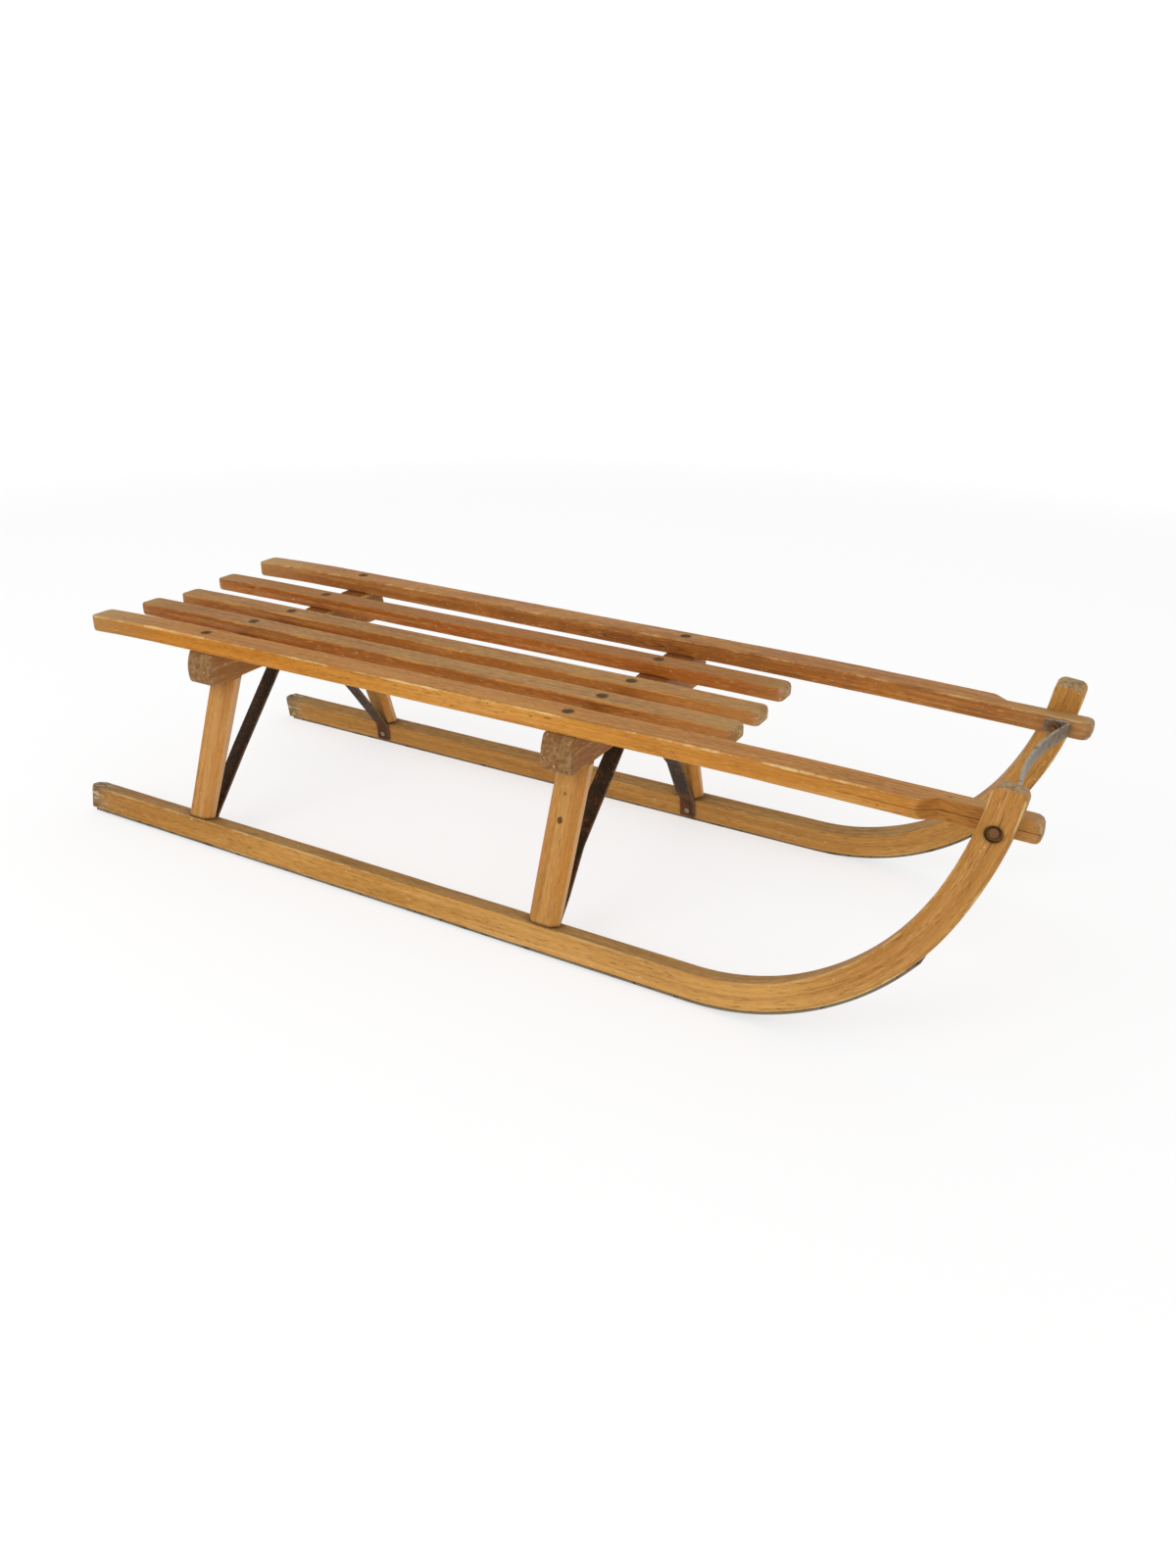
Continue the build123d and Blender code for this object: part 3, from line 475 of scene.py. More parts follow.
def steelMaterial(name, look):
    s = Sheet(name)
    place = s.coordinates("Object")
    x, y, z = s.split(place)
    cloud = s.noise(place, scale=60, detail=4, roughness=0.65)
    grit = s.noise(place, scale=700, detail=3, roughness=0.7)
    specks = s.smooth(s.noise(place, scale=330, detail=2), 0.56, 0.66)
    rim = s.maths("ABSOLUTE", s.attribute("rim", "Fac"))
    low = s.smooth(z, 0.06, 0.02) * look["rustyFoot"]
    rustSum = cloud * 0.75 + grit * 0.25 + low + s.smooth(rim, 0.55, 0.95) * look["rustyRim"]
    rust = s.smooth(rustSum, look["rustFrom"], look["rustFrom"] + 0.12)
    colour = s.blend(s.smooth(grit, 0.3, 0.7), look["base"], look["pale"])
    rustColour = s.blend(s.smooth(grit, 0.35, 0.65), look["rust"], look["rustDark"])
    colour = s.blend(rust * look["rustCover"], colour, rustColour)
    colour = s.blend(specks * look["specks"], colour, look["rust"])
    flakes = s.noise(s.combine(x * 70, y * 70, z * 26), detail=4, roughness=0.72)
    soot = s.smooth(flakes - rim * 0.05, 0.42, 0.52) * (1 - low * 3) * look["soot"]
    colour = s.blend(soot, colour, look["sootColour"])
    # pale rims along the strips' edges: partly worn bare steel, partly a painted highlight
    wornRimAndHighlight = s.smooth(rim + (grit - 0.5) * 0.25, 0.86, 0.97) * s.smooth(cloud, 0.36, 0.5) * look["rimWearAndHighlight"]
    colour = s.blend(wornRimAndHighlight, colour, look["rimWearAndHighlightColour"])
    return s.finish({
        "Base Color": colour,
        "Metallic": (1 - rust) * look["metal"],
        "Roughness": rust * 0.25 + look["rough"] + grit * 0.1 - wornRimAndHighlight * 0.1,
        "Normal": s.bump(grit + cloud * 0.7, 0.5, 0.3 * mm),
        "Specular IOR Level": look["shine"],
    })


# the rim colour and amount paint worn bare steel and a painted highlight on the strips' edges
rustTones = {
    "rust": rgb("7C4A28"), "rustDark": rgb("4A2C1B"), "rimWearAndHighlightColour": rgb("B5A68C"), "rimWearAndHighlight": 0.0,
    "rustyFoot": 0.0, "rustyRim": 0.0, "soot": 0.0, "sootColour": rgb("1C150E"), "shine": 0.3,
}
steels = {
    "brace_steel": steelMaterial("braceSteel", {
        **rustTones, "base": rgb("2C2115"), "pale": rgb("463420"), "rustFrom": 0.52, "rustCover": 0.75,
        "specks": 0.6, "metal": 0.0, "rough": 0.6, "rimWearAndHighlightColour": rgb("7A6B50"), "rimWearAndHighlight": 0.4,
        "rustyFoot": 0.16, "rustyRim": 0.07, "soot": 0.6, "sootColour": rgb("241B12"), "shine": 0.2}),
    "strap_steel": steelMaterial("strapSteel", {
        **rustTones, "base": rgb("564C3C"), "pale": rgb("857660"), "rustFrom": 0.53, "rustCover": 0.75,
        "specks": 0.45, "metal": 0.35, "rough": 0.45, "rimWearAndHighlightColour": rgb("B4AC9A"), "rimWearAndHighlight": 0.6}),
    "shoe_steel": steelMaterial("shoeSteel", {
        **rustTones, "base": rgb("2A2622"), "pale": rgb("57514A"), "rustFrom": 0.55, "rustCover": 0.5,
        "specks": 0.2, "metal": 0.7, "rough": 0.4, "rimWearAndHighlight": 0.3}),
    "fastener_steel": steelMaterial("fastenerSteel", {
        **rustTones, "base": rgb("5C3E1E"), "pale": rgb("846038"), "rustFrom": 0.48, "rustCover": 0.6,
        "specks": 0.3, "metal": 0.3, "rough": 0.45}),
    "screw_steel": steelMaterial("screwSteel", {
        **rustTones, "base": rgb("332512"), "pale": rgb("6E5A34"), "rustFrom": 0.5, "rustCover": 0.5,
        "specks": 0.3, "metal": 0.05, "rough": 0.6, "shine": 0.1}),
    "nail_steel": steelMaterial("nailSteel", {
        **rustTones, "base": rgb("6E6450"), "pale": rgb("A89C80"), "rustFrom": 0.55, "rustCover": 0.6,
        "specks": 0.3, "metal": 0.3, "rough": 0.45}),
}
print("steel finishes made")


# boards
# A board is made straight along X, with Y across and Z up from its own middle line,
# gets its cuts and its grain there, and is then bent and put in its place. sideWear and topWear
# hold a depth and a rate along the board, and edgeWear holds a share, its swing and a rate.

def wobble(values, seed, rate):  # smooth noise from -1 to 1 along a row of numbers
    return np.array([noise.noise(Vector((v * rate, seed * 13.7, seed * 3.1))) for v in values])


def worn(x, seed, wear):  # how much a hand-planed face has lost along the board
    depth, rate = wear
    return depth * (1 + wobble(x, seed, rate))


def edgeRound(x, seed, look):  # the long edges' radius, uneven along the board
    share, swing, rate = look["edgeWear"]
    return look["edge"] * (share + swing * wobble(x, seed, rate))


def spacedStations(start, end, step, startRound, endRound, extra=()):
    marks = [0.0, 0.08, 0.3, 0.65, 1.0]  # closer together where a rounded end turns fastest
    body = list(np.arange(start + startRound + step, end - endRound - step / 2, step))
    stations = [start + m * startRound for m in marks] + body + [end - m * endRound for m in marks]
    stations = sorted(set(np.round(stations + list(extra), 6)))
    return np.array([x for x in stations if start - 1e-6 <= x <= end + 1e-6])


def roundInset(distance, radius):  # how far a quarter-round end draws the sides in
    left = np.clip(1 - distance / radius, 0, 1)
    return radius * (1 - np.sqrt(1 - left**2))


def chamferInset(distance, size):
    return np.clip(size - distance, 0, size)


def boardRings(stations, halfAcross, halfUp, corner, sidePoints=6, cornerPoints=4, facet=0.0):
    # facet 0 gives round corners, 1 gives a flat chamfer
    turns = np.linspace(0, math.pi / 2, cornerPoints + 1)
    between = (1 - np.cos(np.linspace(0, math.pi, sidePoints + 2)[1:-1])) / 2
    corner = np.minimum(corner, 0.98 * np.minimum(halfAcross, halfUp))
    flatY, flatZ = halfAcross - corner, halfUp - corner
    signs = ((1, 1), (-1, 1), (-1, -1), (1, -1))
    columns = []
    for number, (signY, signZ) in enumerate(signs):
        first, last = number * math.pi / 2, (number + 1) * math.pi / 2
        for turn in turns:
            share = turn / turns[-1]
            chordY = math.cos(first) + (math.cos(last) - math.cos(first)) * share
            chordZ = math.sin(first) + (math.sin(last) - math.sin(first)) * share
            arcY = math.cos(turn + first) * (1 - facet) + chordY * facet
            arcZ = math.sin(turn + first) * (1 - facet) + chordZ * facet
            columns.append((signY * flatY + corner * arcY, signZ * flatZ + corner * arcZ))
        cornerY, cornerZ = columns[-1]
        nextSignY, nextSignZ = signs[(number + 1) % 4]
        nextY = nextSignY * flatY + corner * math.cos(last)
        nextZ = nextSignZ * flatZ + corner * math.sin(last)
        for share in between:
            columns.append((cornerY + (nextY - cornerY) * share, cornerZ + (nextZ - cornerZ) * share))
    ringY = np.stack([column[0] for column in columns], 1)
    ringZ = np.stack([column[1] for column in columns], 1)
    ringX = np.repeat(stations[:, None], ringY.shape[1], 1)
    return np.stack([ringX, ringY, ringZ], 2)


def closedMesh(name, rings, crown=(0.0, 0.0)):  # crown is how far each end swells out
    count, size = rings.shape[:2]
    points = rings.reshape(-1, 3).tolist()
    faces = []
    around = [(j, (j + 1) % size) for j in range(size)]
    for i in range(count - 1):
        here, there = i * size, (i + 1) * size
        faces += [(here + j, here + k, there + k, there + j) for j, k in around]
    for end, sign, swell in ((0, -1, crown[0]), (count - 1, 1, crown[1])):
        middle = rings[end].mean(0)
        outer = end * size
        for share in (0.8, 0.5, 0.2):
            ring = middle + (rings[end] - middle) * share
            ring[:, 0] += sign * swell * (1 - share**2)
            inner = len(points)
            points += ring.tolist()
            quads = [(outer + j, outer + k, inner + k, inner + j) for j, k in around]
            faces += [quad[::sign] for quad in quads]
            outer = inner
        points.append((middle + [sign * swell, 0, 0]).tolist())
        faces += [(outer + j, outer + k, len(points) - 1)[::sign] for j, k in around]
    mesh = bpy.data.meshes.new(name)
    mesh.from_pydata(points, [], faces)
    mesh.validate()
    return mesh


def discCutter(centre, axis, radius, depth):  # a short cylinder whose middle is at centre
    bm = bmesh.new()
    bmesh.ops.create_cone(bm, cap_ends=True, segments=40, radius1=radius, radius2=radius, depth=depth)
    turn = Vector((0, 0, 1)).rotation_difference(Vector(axis)).to_matrix().to_4x4()
    bm.transform(Matrix.Translation(Vector(centre)) @ turn)
    mesh = bpy.data.meshes.new("cutter")
    bm.to_mesh(mesh)
    bm.free()
    return mesh


def cutAway(mesh, cutters):
    board = bpy.data.objects.new("boardToCut", mesh)
    scene.collection.objects.link(board)
    tools = []
    for cutter in cutters:
        tool = bpy.data.objects.new("cuttingTool", cutter)
        scene.collection.objects.link(tool)
        change = board.modifiers.new("cut", "BOOLEAN")
        change.operation = "DIFFERENCE"
        change.solver = "EXACT"
        change.object = tool
        tools.append(tool)
    graph = bpy.context.evaluated_depsgraph_get()
    result = bpy.data.meshes.new_from_object(board.evaluated_get(graph))
    for item in [board] + tools:
        bpy.data.objects.remove(item)
    return result


def meshPoints(mesh):
    points = np.zeros(len(mesh.vertices) * 3)
    mesh.vertices.foreach_get("co", points)
    return points.reshape(-1, 3)


def writeAttribute(mesh, name, kind, field, values):
    attribute = mesh.attributes.new(name, kind, "POINT")
    attribute.data.foreach_set(field, np.ascontiguousarray(values, dtype=np.float32).ravel())


hardAngle = math.radians(38)


def sharpen(mesh):  # smooth faces, with hard edges kept hard
    bm = bmesh.new()
    bm.from_mesh(mesh)
    if bm.calc_volume(signed=True) < 0:  # a mirrored piece came out inside out
        bmesh.ops.reverse_faces(bm, faces=bm.faces)
    for face in bm.faces:
        face.smooth = True
    for edge in bm.edges:
        if len(edge.link_faces) == 2 and edge.calc_face_angle(0) > hardAngle:
            edge.smooth = False
    bm.to_mesh(mesh)
    bm.free()


def addPiece(node, mesh, material):
    mesh.materials.clear()
    mesh.materials.append(material)
    piece = bpy.data.objects.new(node + "Look", mesh)
    scene.collection.objects.link(piece)
    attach(piece, "root")
    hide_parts(node)
    return piece


def finishBoard(node, mesh, slot, seed, tone, limits, halves, placed):
    board = meshPoints(mesh)
    start, end = limits
    section = np.stack([
        np.clip(board[:, 1] / halves[0], -1, 1),
        np.clip(board[:, 2] / halves[1], -1, 1),
        np.maximum(np.minimum(board[:, 0] - start, end - board[:, 0]), 0),
    ], 1)
    writeAttribute(mesh, "grain", "FLOAT_VECTOR", "vector", board)
    writeAttribute(mesh, "section", "FLOAT_VECTOR", "vector", section)
    writeAttribute(mesh, "seed", "FLOAT", "value", np.full(len(board), seed))
    writeAttribute(mesh, "tone", "FLOAT", "value", np.full(len(board), tone))
    mesh.vertices.foreach_set("co", placed.astype(np.float32).ravel())
    mesh.update()
    sharpen(mesh)
    return addPiece(node, mesh, woods[slot])


def flatBoard(node, seed, look, extra=()):  # straight, with rounded ends and its screw holes
    x = spacedStations(look["rear"], look["front"], look["step"], look["endRound"], look["endRound"], extra)
    fromEnd = np.minimum(x - look["rear"], look["front"] - x)
    across = look["width"] / 2 - roundInset(fromEnd, look["endRound"]) - worn(x, seed, look["sideWear"])
    up = look["thick"] / 2 - roundInset(fromEnd, look["topRound"]) - worn(x, seed + 5, look["topWear"])
    mesh = closedMesh(node + "Look", boardRings(x, across, up, edgeRound(x, seed + 2, look)))
    holes = [discCutter((at, 0, look["thick"] / 2), (0, 0, 1), look["screwHole"], look["holeDeep"] * 2)
             for at in crossXs.values()]
    return cutAway(mesh, holes)


def finishFlatBoard(node, mesh, slot, seed, tone, look, placed):
    limits = (look["rear"], look["front"])
    return finishBoard(node, mesh, slot, seed, tone, limits, (look["width"] / 2, look["thick"] / 2), placed)


# inner slats

slatLook = {
    "rear": -0.5515, "front": 0.2625, "width": 31 * mm, "thick": 16 * mm, "edge": 2.8 * mm,
    "endRound": 9.5 * mm, "topRound": 5 * mm, "flatRear": -0.4035, "flatFront": 0.1365, "drop": 1 * mm,
    "step": 7 * mm, "screwHole": 5.8 * mm, "holeDeep": 1.3 * mm,
    "sideWear": (0.25 * mm, 9), "topWear": (0.15 * mm, 8), "edgeWear": (0.85, 0.3, 22),
    "rows": {"slat_right": (-0.067, 0.232), "slat_centre": (0.0, 0.2274), "slat_left": (0.067, 0.232)},
    "seeds": {"slat_right": 1, "slat_centre": 2, "slat_left": 3},
    "tones": {"slat_right": 0.0, "slat_centre": 0.05, "slat_left": 0.75},
}


def makeSlat(node, look):
    y, seat = look["rows"][node]
    seed, tone = look["seeds"][node], look["tones"][node]
    mesh = flatBoard(node, seed, look)
    along, across, up = meshPoints(mesh).T
    rear = np.clip(look["flatRear"] - along, 0, None) / (look["flatRear"] - look["rear"])
    front = np.clip(along - look["flatFront"], 0, None) / (look["front"] - look["flatFront"])
    fall = look["drop"] * (rear**2 + front**2)
    placed = np.stack([along, y + across, seat + look["thick"] / 2 - fall + up], 1)
    return finishFlatBoard(node, mesh, "slat_wood", seed, tone, look, placed)


for node in slatLook["rows"]:
    makeSlat(node, slatLook)
print("inner slats made")


# outer rails

railLook = {
    "rear": -0.5495, "front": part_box("side_rail_right")[1].x, "width": 33 * mm, "thick": 20 * mm,
    "edge": 3 * mm, "endRound": 11 * mm, "topRound": 6 * mm, "step": 7 * mm,
    "seat": 0.2354, "yRear": 0.1441, "yFront": 0.1384, "rearStart": -0.4035, "rearRadius": 3.530,
    "bendStart": 0.1365, "bendEnd": 0.4265, "frontRadius": 12.5, "notch": 0.4764, "scoop": 17 * mm,
    "screwHole": 5.8 * mm, "holeDeep": 1.3 * mm,
    "sideWear": (0.25 * mm, 9), "topWear": (0.15 * mm, 8), "edgeWear": (0.95, 0.35, 22),
    "seeds": {"right": 4.3, "left": 6.3}, "tones": {"right": 0.0, "left": 0.9},
}
railTaper = (railLook["yRear"] - railLook["yFront"]) / crossApart


def railY(x):  # how far out a rail's middle is
    return railLook["yRear"] - railTaper * (x - crossXs["rear"])


def makeRail(hand, look):
    node = "side_rail_" + hand
    seed = look["seeds"][hand]
    stepEnd = look["notch"] + 0.3 * mm
    mesh = flatBoard(node, seed, look, extra=(look["notch"] - look["scoop"], look["notch"], stepEnd))
    along, across, up = meshPoints(mesh).T
    rearRun = np.clip(look["rearStart"] - along, 0, None)
    frontRun = np.clip(along, look["bendStart"], look["bendEnd"]) - look["bendStart"]
    beyond = np.clip(along - look["bendEnd"], 0, None)
    slope = (look["bendEnd"] - look["bendStart"]) / look["frontRadius"]
    fall = rearRun**2 / (2 * look["rearRadius"]) + frontRun**2 / (2 * look["frontRadius"]) + beyond * slope
    z = look["seat"] + look["thick"] / 2 - fall + up
    out = railY(along) - across
    hornFace = halfTrack - (z - frameZ) * math.tan(lean) - runnerLook["thick"] / math.cos(lean)
    wholeFace = railY(along) + look["width"] / 2
    share = np.clip((along - look["notch"] + look["scoop"]) / look["scoop"], 0, 1)
    limit = wholeFace + (hornFace - wholeFace) * share
    out = np.where(share > 0, np.minimum(out, limit), out)
    placed = np.stack([along, sides[hand] * out, z], 1)
    return finishFlatBoard(node, mesh, "rail_wood", seed, look["tones"][hand], look, placed)


for hand in sides:
    makeRail(hand, railLook)
print("outer rails made")


# runners, each swept along its line from the heel to the tip of the horn

def makeRunner(hand, look):
    node = "runner_" + hand
    seed = look["seeds"][hand]
    end = sum(runnerLengths(look))
    bolt = boltLength(look)
    nearBolt = np.arange(bolt - look["boltZone"], bolt + look["boltZone"], look["boltStep"])
    x = spacedStations(0, end, look["step"], look["rearChamfer"], look["hornCorner"], extra=nearBolt)
    across = look["thick"] / 2 - chamferInset(x, look["rearChamfer"]) - roundInset(end - x, look["tipRound"])
    up = look["deep"] / 2 - roundInset(x, look["heelRound"]) - roundInset(end - x, look["hornCorner"])
    across = across - worn(x, seed, look["sideWear"])
    up = up - worn(x, seed + 4, look["topWear"])
    mesh = closedMesh(node + "Look", boardRings(x, across, up, edgeRound(x, seed + 2, look)), look["crown"])
    recess = discCutter((bolt, look["thick"] / 2, 0), (0, 1, 0), look["recess"], 2 * look["recessDeep"])
    mesh = cutAway(mesh, [recess])
    along, across, up = meshPoints(mesh).T
    forward, upward = runnerPoint(along, up, look)
    away = across - look["thick"] / 2
    y = halfTrack - upward * math.sin(lean) + away * math.cos(lean)
    z = frameZ + upward * math.cos(lean) + away * math.sin(lean)
    placed = np.stack([forward, sides[hand] * y, z], 1)
    halves = (look["thick"] / 2, look["deep"] / 2)
    return finishBoard(node, mesh, "runner_wood", seed, look["tones"][hand], (0, end), halves, placed)


for hand in sides:
    makeRunner(hand, runnerLook)
print("runners made")


# legs, splayed and raked, between runner and crosspiece

legLook = {
    "topY": 0.1199, "footInset": 0.8 * mm, "top": (37.5 * mm, 23 * mm), "foot": (36 * mm, 19.5 * mm),
    "facet": 0.88, "sink": 0.8 * mm, "step": 7 * mm, "rake": {"rear": 4 * mm, "front": 1 * mm},
    "sideWear": (0.2 * mm, 9), "topWear": (0.15 * mm, 9), "edge": 8 * mm, "edgeWear": (0.9, 0.1, 12),
    "seeds": {"rear": 11.3, "front": 13.4}, "handSeed": 0.9, "tones": {"rear": 0.6, "front": 0.0},
}


def legSection(share, look):  # width and thickness from the foot, 0, to the top, 1
    return [foot + share * (top - foot) for foot, top in zip(look["foot"], look["top"])]


def legFootY(look):  # how far out the middle of a leg's foot is
    splay = (halfTrack - look["topY"]) / (crossUnder - runnerTop)
    outerY = halfTrack - runnerTop * math.sin(lean) - look["footInset"]
    return outerY - look["foot"][1] / 2 * math.sqrt(1 + splay**2)


def makeLeg(end, hand, look):
    node = "leg_" + end + "_" + hand
    side = sides[hand]
    seed = look["seeds"][end] + look["handSeed"] * side
    foot = Vector((crossXs[end] - look["rake"][end], side * legFootY(look), runnerTopZ))
    top = Vector((crossXs[end], side * look["topY"], crossUnder))
    axis = (top - foot).normalized()
    length = (top - foot).length
    wide = Vector((axis.z, 0, -axis.x)).normalized()
    deep = axis.cross(wide)
    planeUp = Vector((0, -side * math.sin(lean), math.cos(lean)))
    x = np.arange(0, length + look["step"] / 2, look["step"])
    x = np.clip(np.append(x[:-1], length), 0, length)
    width, thick = legSection(x / length, look)
    across = width / 2 - worn(x, seed, look["sideWear"])
    up = thick / 2 - worn(x, seed + 4, look["topWear"])
    rings = boardRings(x, across, up, edgeRound(x, seed + 2, look),
                       sidePoints=8, cornerPoints=7, facet=look["facet"])
    mesh = closedMesh(node + "Look", rings)
    along, across, up = meshPoints(mesh).T
    flatFoot = np.array(foot) + across[:, None] * np.array(wide) + up[:, None] * np.array(deep)
    toRunner = -(flatFoot - np.array(foot)) @ np.array(planeUp) / axis.dot(planeUp) - look["sink"]
    toCross = (crossUnder - (flatFoot[:, 2] + length * axis.z)) / axis.z + look["sink"]
    share = along / length
    slide = (1 - share) * toRunner + share * toCross
    placed = flatFoot + (along + slide)[:, None] * np.array(axis)
    halves = [size / 2 for size in legSection(share, look)]
    return finishBoard(node, mesh, "leg_wood", seed, look["tones"][end], (0, length), halves, placed)


for end in crossXs:
    for hand in sides:
        makeLeg(end, hand, legLook)
print("legs made")


# crosspieces, dished on top and rounded at their ends

crossLook = {
    "width": 38 * mm, "edge": 3.2 * mm, "endRound": 3 * mm, "step": 5 * mm, "crown": (0.6 * mm, 0.6 * mm),
    "top": {0.0: 0.2274, 0.017: 0.2274, 0.050: 0.232, 0.084: 0.232, 0.1204: 0.2354, 0.158: 0.2354},
    "ends": ((0.1604, 0.196), (0.1625, 0.218), (0.1554, 0.2354)), "endShare": 0.25,
    "sideWear": (0.2 * mm, 14), "edgeWear": (0.9, 0.3, 30), "seeds": {"rear": 17.4, "front": 20.7},
}


def endCurve(z, look):  # the rounded end's reach at a height
    (y0, z0), (y1, z1), (y2, z2) = look["ends"]
    first = y0 * (z - z1) * (z - z2) / ((z0 - z1) * (z0 - z2))
    second = y1 * (z - z0) * (z - z2) / ((z1 - z0) * (z1 - z2))
    third = y2 * (z - z0) * (z - z1) / ((z2 - z0) * (z2 - z1))
    return first + second + third


def crossTall(y, look):  # a crosspiece's height at a distance from the middle
    return np.interp(np.abs(y), list(look["top"]), list(look["top"].values())) - crossUnder


def makeCross(end, look):
    node = "crosspiece_" + end
    seed = look["seeds"][end]
    reach = look["ends"][0][0]
    shoulders = [sign * y for y in look["top"] if y < reach - look["step"] for sign in (1, -1)]
    x = spacedStations(-reach, reach, look["step"], look["endRound"], look["endRound"], extra=shoulders)
    inset = roundInset(reach - np.abs(x), look["endRound"])
    across = look["width"] / 2 - inset - worn(x, seed, look["sideWear"])
    up = crossTall(x, look) / 2 - inset
    rings = boardRings(x, across, up, edgeRound(x, seed + 2, look), sidePoints=8)
    mesh = closedMesh(node + "Look", rings, look["crown"])
    along, across, up = meshPoints(mesh).T
    tall = crossTall(along, look)
    z = crossUnder + tall / 2 + up
    share = np.clip((np.abs(along) / reach - 1) / look["endShare"] + 1, 0, 1.05)
    y = along + np.sign(along) * (endCurve(z, look) - reach) * share
    placed = np.stack([crossXs[end] - across, y, z], 1)
    halves = (look["width"] / 2, tall / 2)
    return finishBoard(node, mesh, "crosspiece_wood", seed, 0.0, (-reach, reach), halves, placed)


for end in crossXs:
    makeCross(end, crossLook)
print("crosspieces made")


# node trees for strips that follow a line and for screw heads

class Weave:  # one geometry tree and the nodes in it
    def __init__(self, name, sizes):
        self.tree = bpy.data.node_groups.new(name, "GeometryNodeTree")
        face = self.tree.interface
        face.new_socket("Geometry", in_out="INPUT", socket_type="NodeSocketGeometry")
        face.new_socket("Geometry", in_out="OUTPUT", socket_type="NodeSocketGeometry")
        self.names = {}
        for label, (kind, value) in sizes.items():
            socket = face.new_socket(label, in_out="INPUT", socket_type="NodeSocket" + kind)
            if value is not None:
                socket.default_value = value
            self.names[label] = socket.identifier
        self.start = self.tree.nodes.new("NodeGroupInput")

    def node(self, kind, settings=None, inputs=None):
        made = self.tree.nodes.new(kind)
        for key, value in (settings or {}).items():
            setattr(made, key, value)
        for key, value in (inputs or {}).items():
            if isinstance(value, bpy.types.NodeSocket):
                self.tree.links.new(value, made.inputs[key])
            else:
                made.inputs[key].default_value = value
        return made

    def size(self, label):
        return self.start.outputs[label]

    def times(self, label, factor):
        made = self.node("ShaderNodeMath", {"operation": "MULTIPLY"}, {0: self.size(label), 1: factor})
        return made.outputs[0]

    def vector(self, x=0.0, y=0.0, z=0.0):
        return self.node("ShaderNodeCombineXYZ", inputs={0: x, 1: y, 2: z}).outputs[0]

    def close(self, geometry, material):
        real = self.node("GeometryNodeRealizeInstances", inputs={0: geometry}).outputs[0]
        dressed = self.node("GeometryNodeSetMaterial", inputs={"Geometry": real, "Material": material})
        self.node("NodeGroupOutput", inputs={0: dressed.outputs[0]})


def grown(name, base, weave, sizes):  # a plain mesh of what the tree makes from base
    item = bpy.data.objects.new(name + "Base", base)
    scene.collection.objects.link(item)
    change = item.modifiers.new("weave", "NODES")
    change.node_group = weave.tree
    for label, value in sizes.items():
        change[weave.names[label]] = value
    graph = bpy.context.evaluated_depsgraph_get()
    mesh = bpy.data.meshes.new_from_object(item.evaluated_get(graph))
    bpy.data.objects.remove(item)
    mesh.name = name
    return mesh


def stripWeave():
    w = Weave("steelStrip", {
        "Width": ("Float", 18 * mm), "Thickness": ("Float", 3 * mm), "Edge": ("Float", 0.6 * mm),
        "Bend": ("Float", 9 * mm), "Across": ("Vector", (1, 0, 0)), "Steel": ("Material", None)})
    curve = w.node("GeometryNodeMeshToCurve", inputs={0: w.start.outputs["Geometry"]})
    bent = w.node("GeometryNodeFilletCurve", {"mode": "POLY"}, {
        "Curve": curve.outputs[0], "Count": 7, "Radius": w.size("Bend"), "Limit Radius": True})
    across = w.node("GeometryNodeSetCurveNormal", {"mode": "FREE"}, {
        "Curve": bent.outputs[0], "Normal": w.size("Across")})
    outline = w.node("GeometryNodeCurvePrimitiveQuadrilateral", {"mode": "RECTANGLE"}, {
        "Width": w.size("Width"), "Height": w.size("Thickness")})
    rounded = w.node("GeometryNodeFilletCurve", {"mode": "POLY"}, {
        "Curve": outline.outputs[0], "Count": 3, "Radius": w.size("Edge"), "Limit Radius": True})
    strip = w.node("GeometryNodeCurveToMesh", inputs={
        "Curve": across.outputs[0], "Profile Curve": rounded.outputs[0], "Fill Caps": True})
    w.close(strip.outputs[0], w.size("Steel"))
    return w


steelStrip = stripWeave()


def makeStrip(node, points, slot, sizes, rim):  # rim runs from -1 to 1 over the strip's width
    line = bpy.data.meshes.new(node + "Line")
    line.from_pydata(points, [(i, i + 1) for i in range(len(points) - 1)], [])
    mesh = grown(node + "Look", line, steelStrip, {**sizes, "Steel": steels[slot]})
    writeAttribute(mesh, "rim", "FLOAT", "value", rim(meshPoints(mesh)))
    sharpen(mesh)
    return addPiece(node, mesh, steels[slot])


# braces from under the crosspieces to the runners' inner faces

braceLook = {
    "width": 20 * mm, "thick": 3 * mm, "edge": 0.7 * mm, "bend": 9 * mm, "forward": 2 * mm, "padY": 2 * mm,
    "kneeY": {"rear": 32 * mm, "front": 20 * mm}, "midGap": {"rear": 32 * mm, "front": 24 * mm},
    "midZ": 0.098, "lowZ": 0.052, "lowGap": 13 * mm, "landZ": 0.030, "endZ": 6 * mm,
}


def legInnerY(z):  # how far out a leg's inner face is at a height
    rise = crossUnder - runnerTopZ
    share = (z - runnerTopZ) / rise
    footY = legFootY(legLook)
    thick = legSection(share, legLook)[1]
    slope = (footY - legLook["topY"]) / rise
    return footY + share * (legLook["topY"] - footY) - thick / 2 * math.sqrt(1 + slope**2)


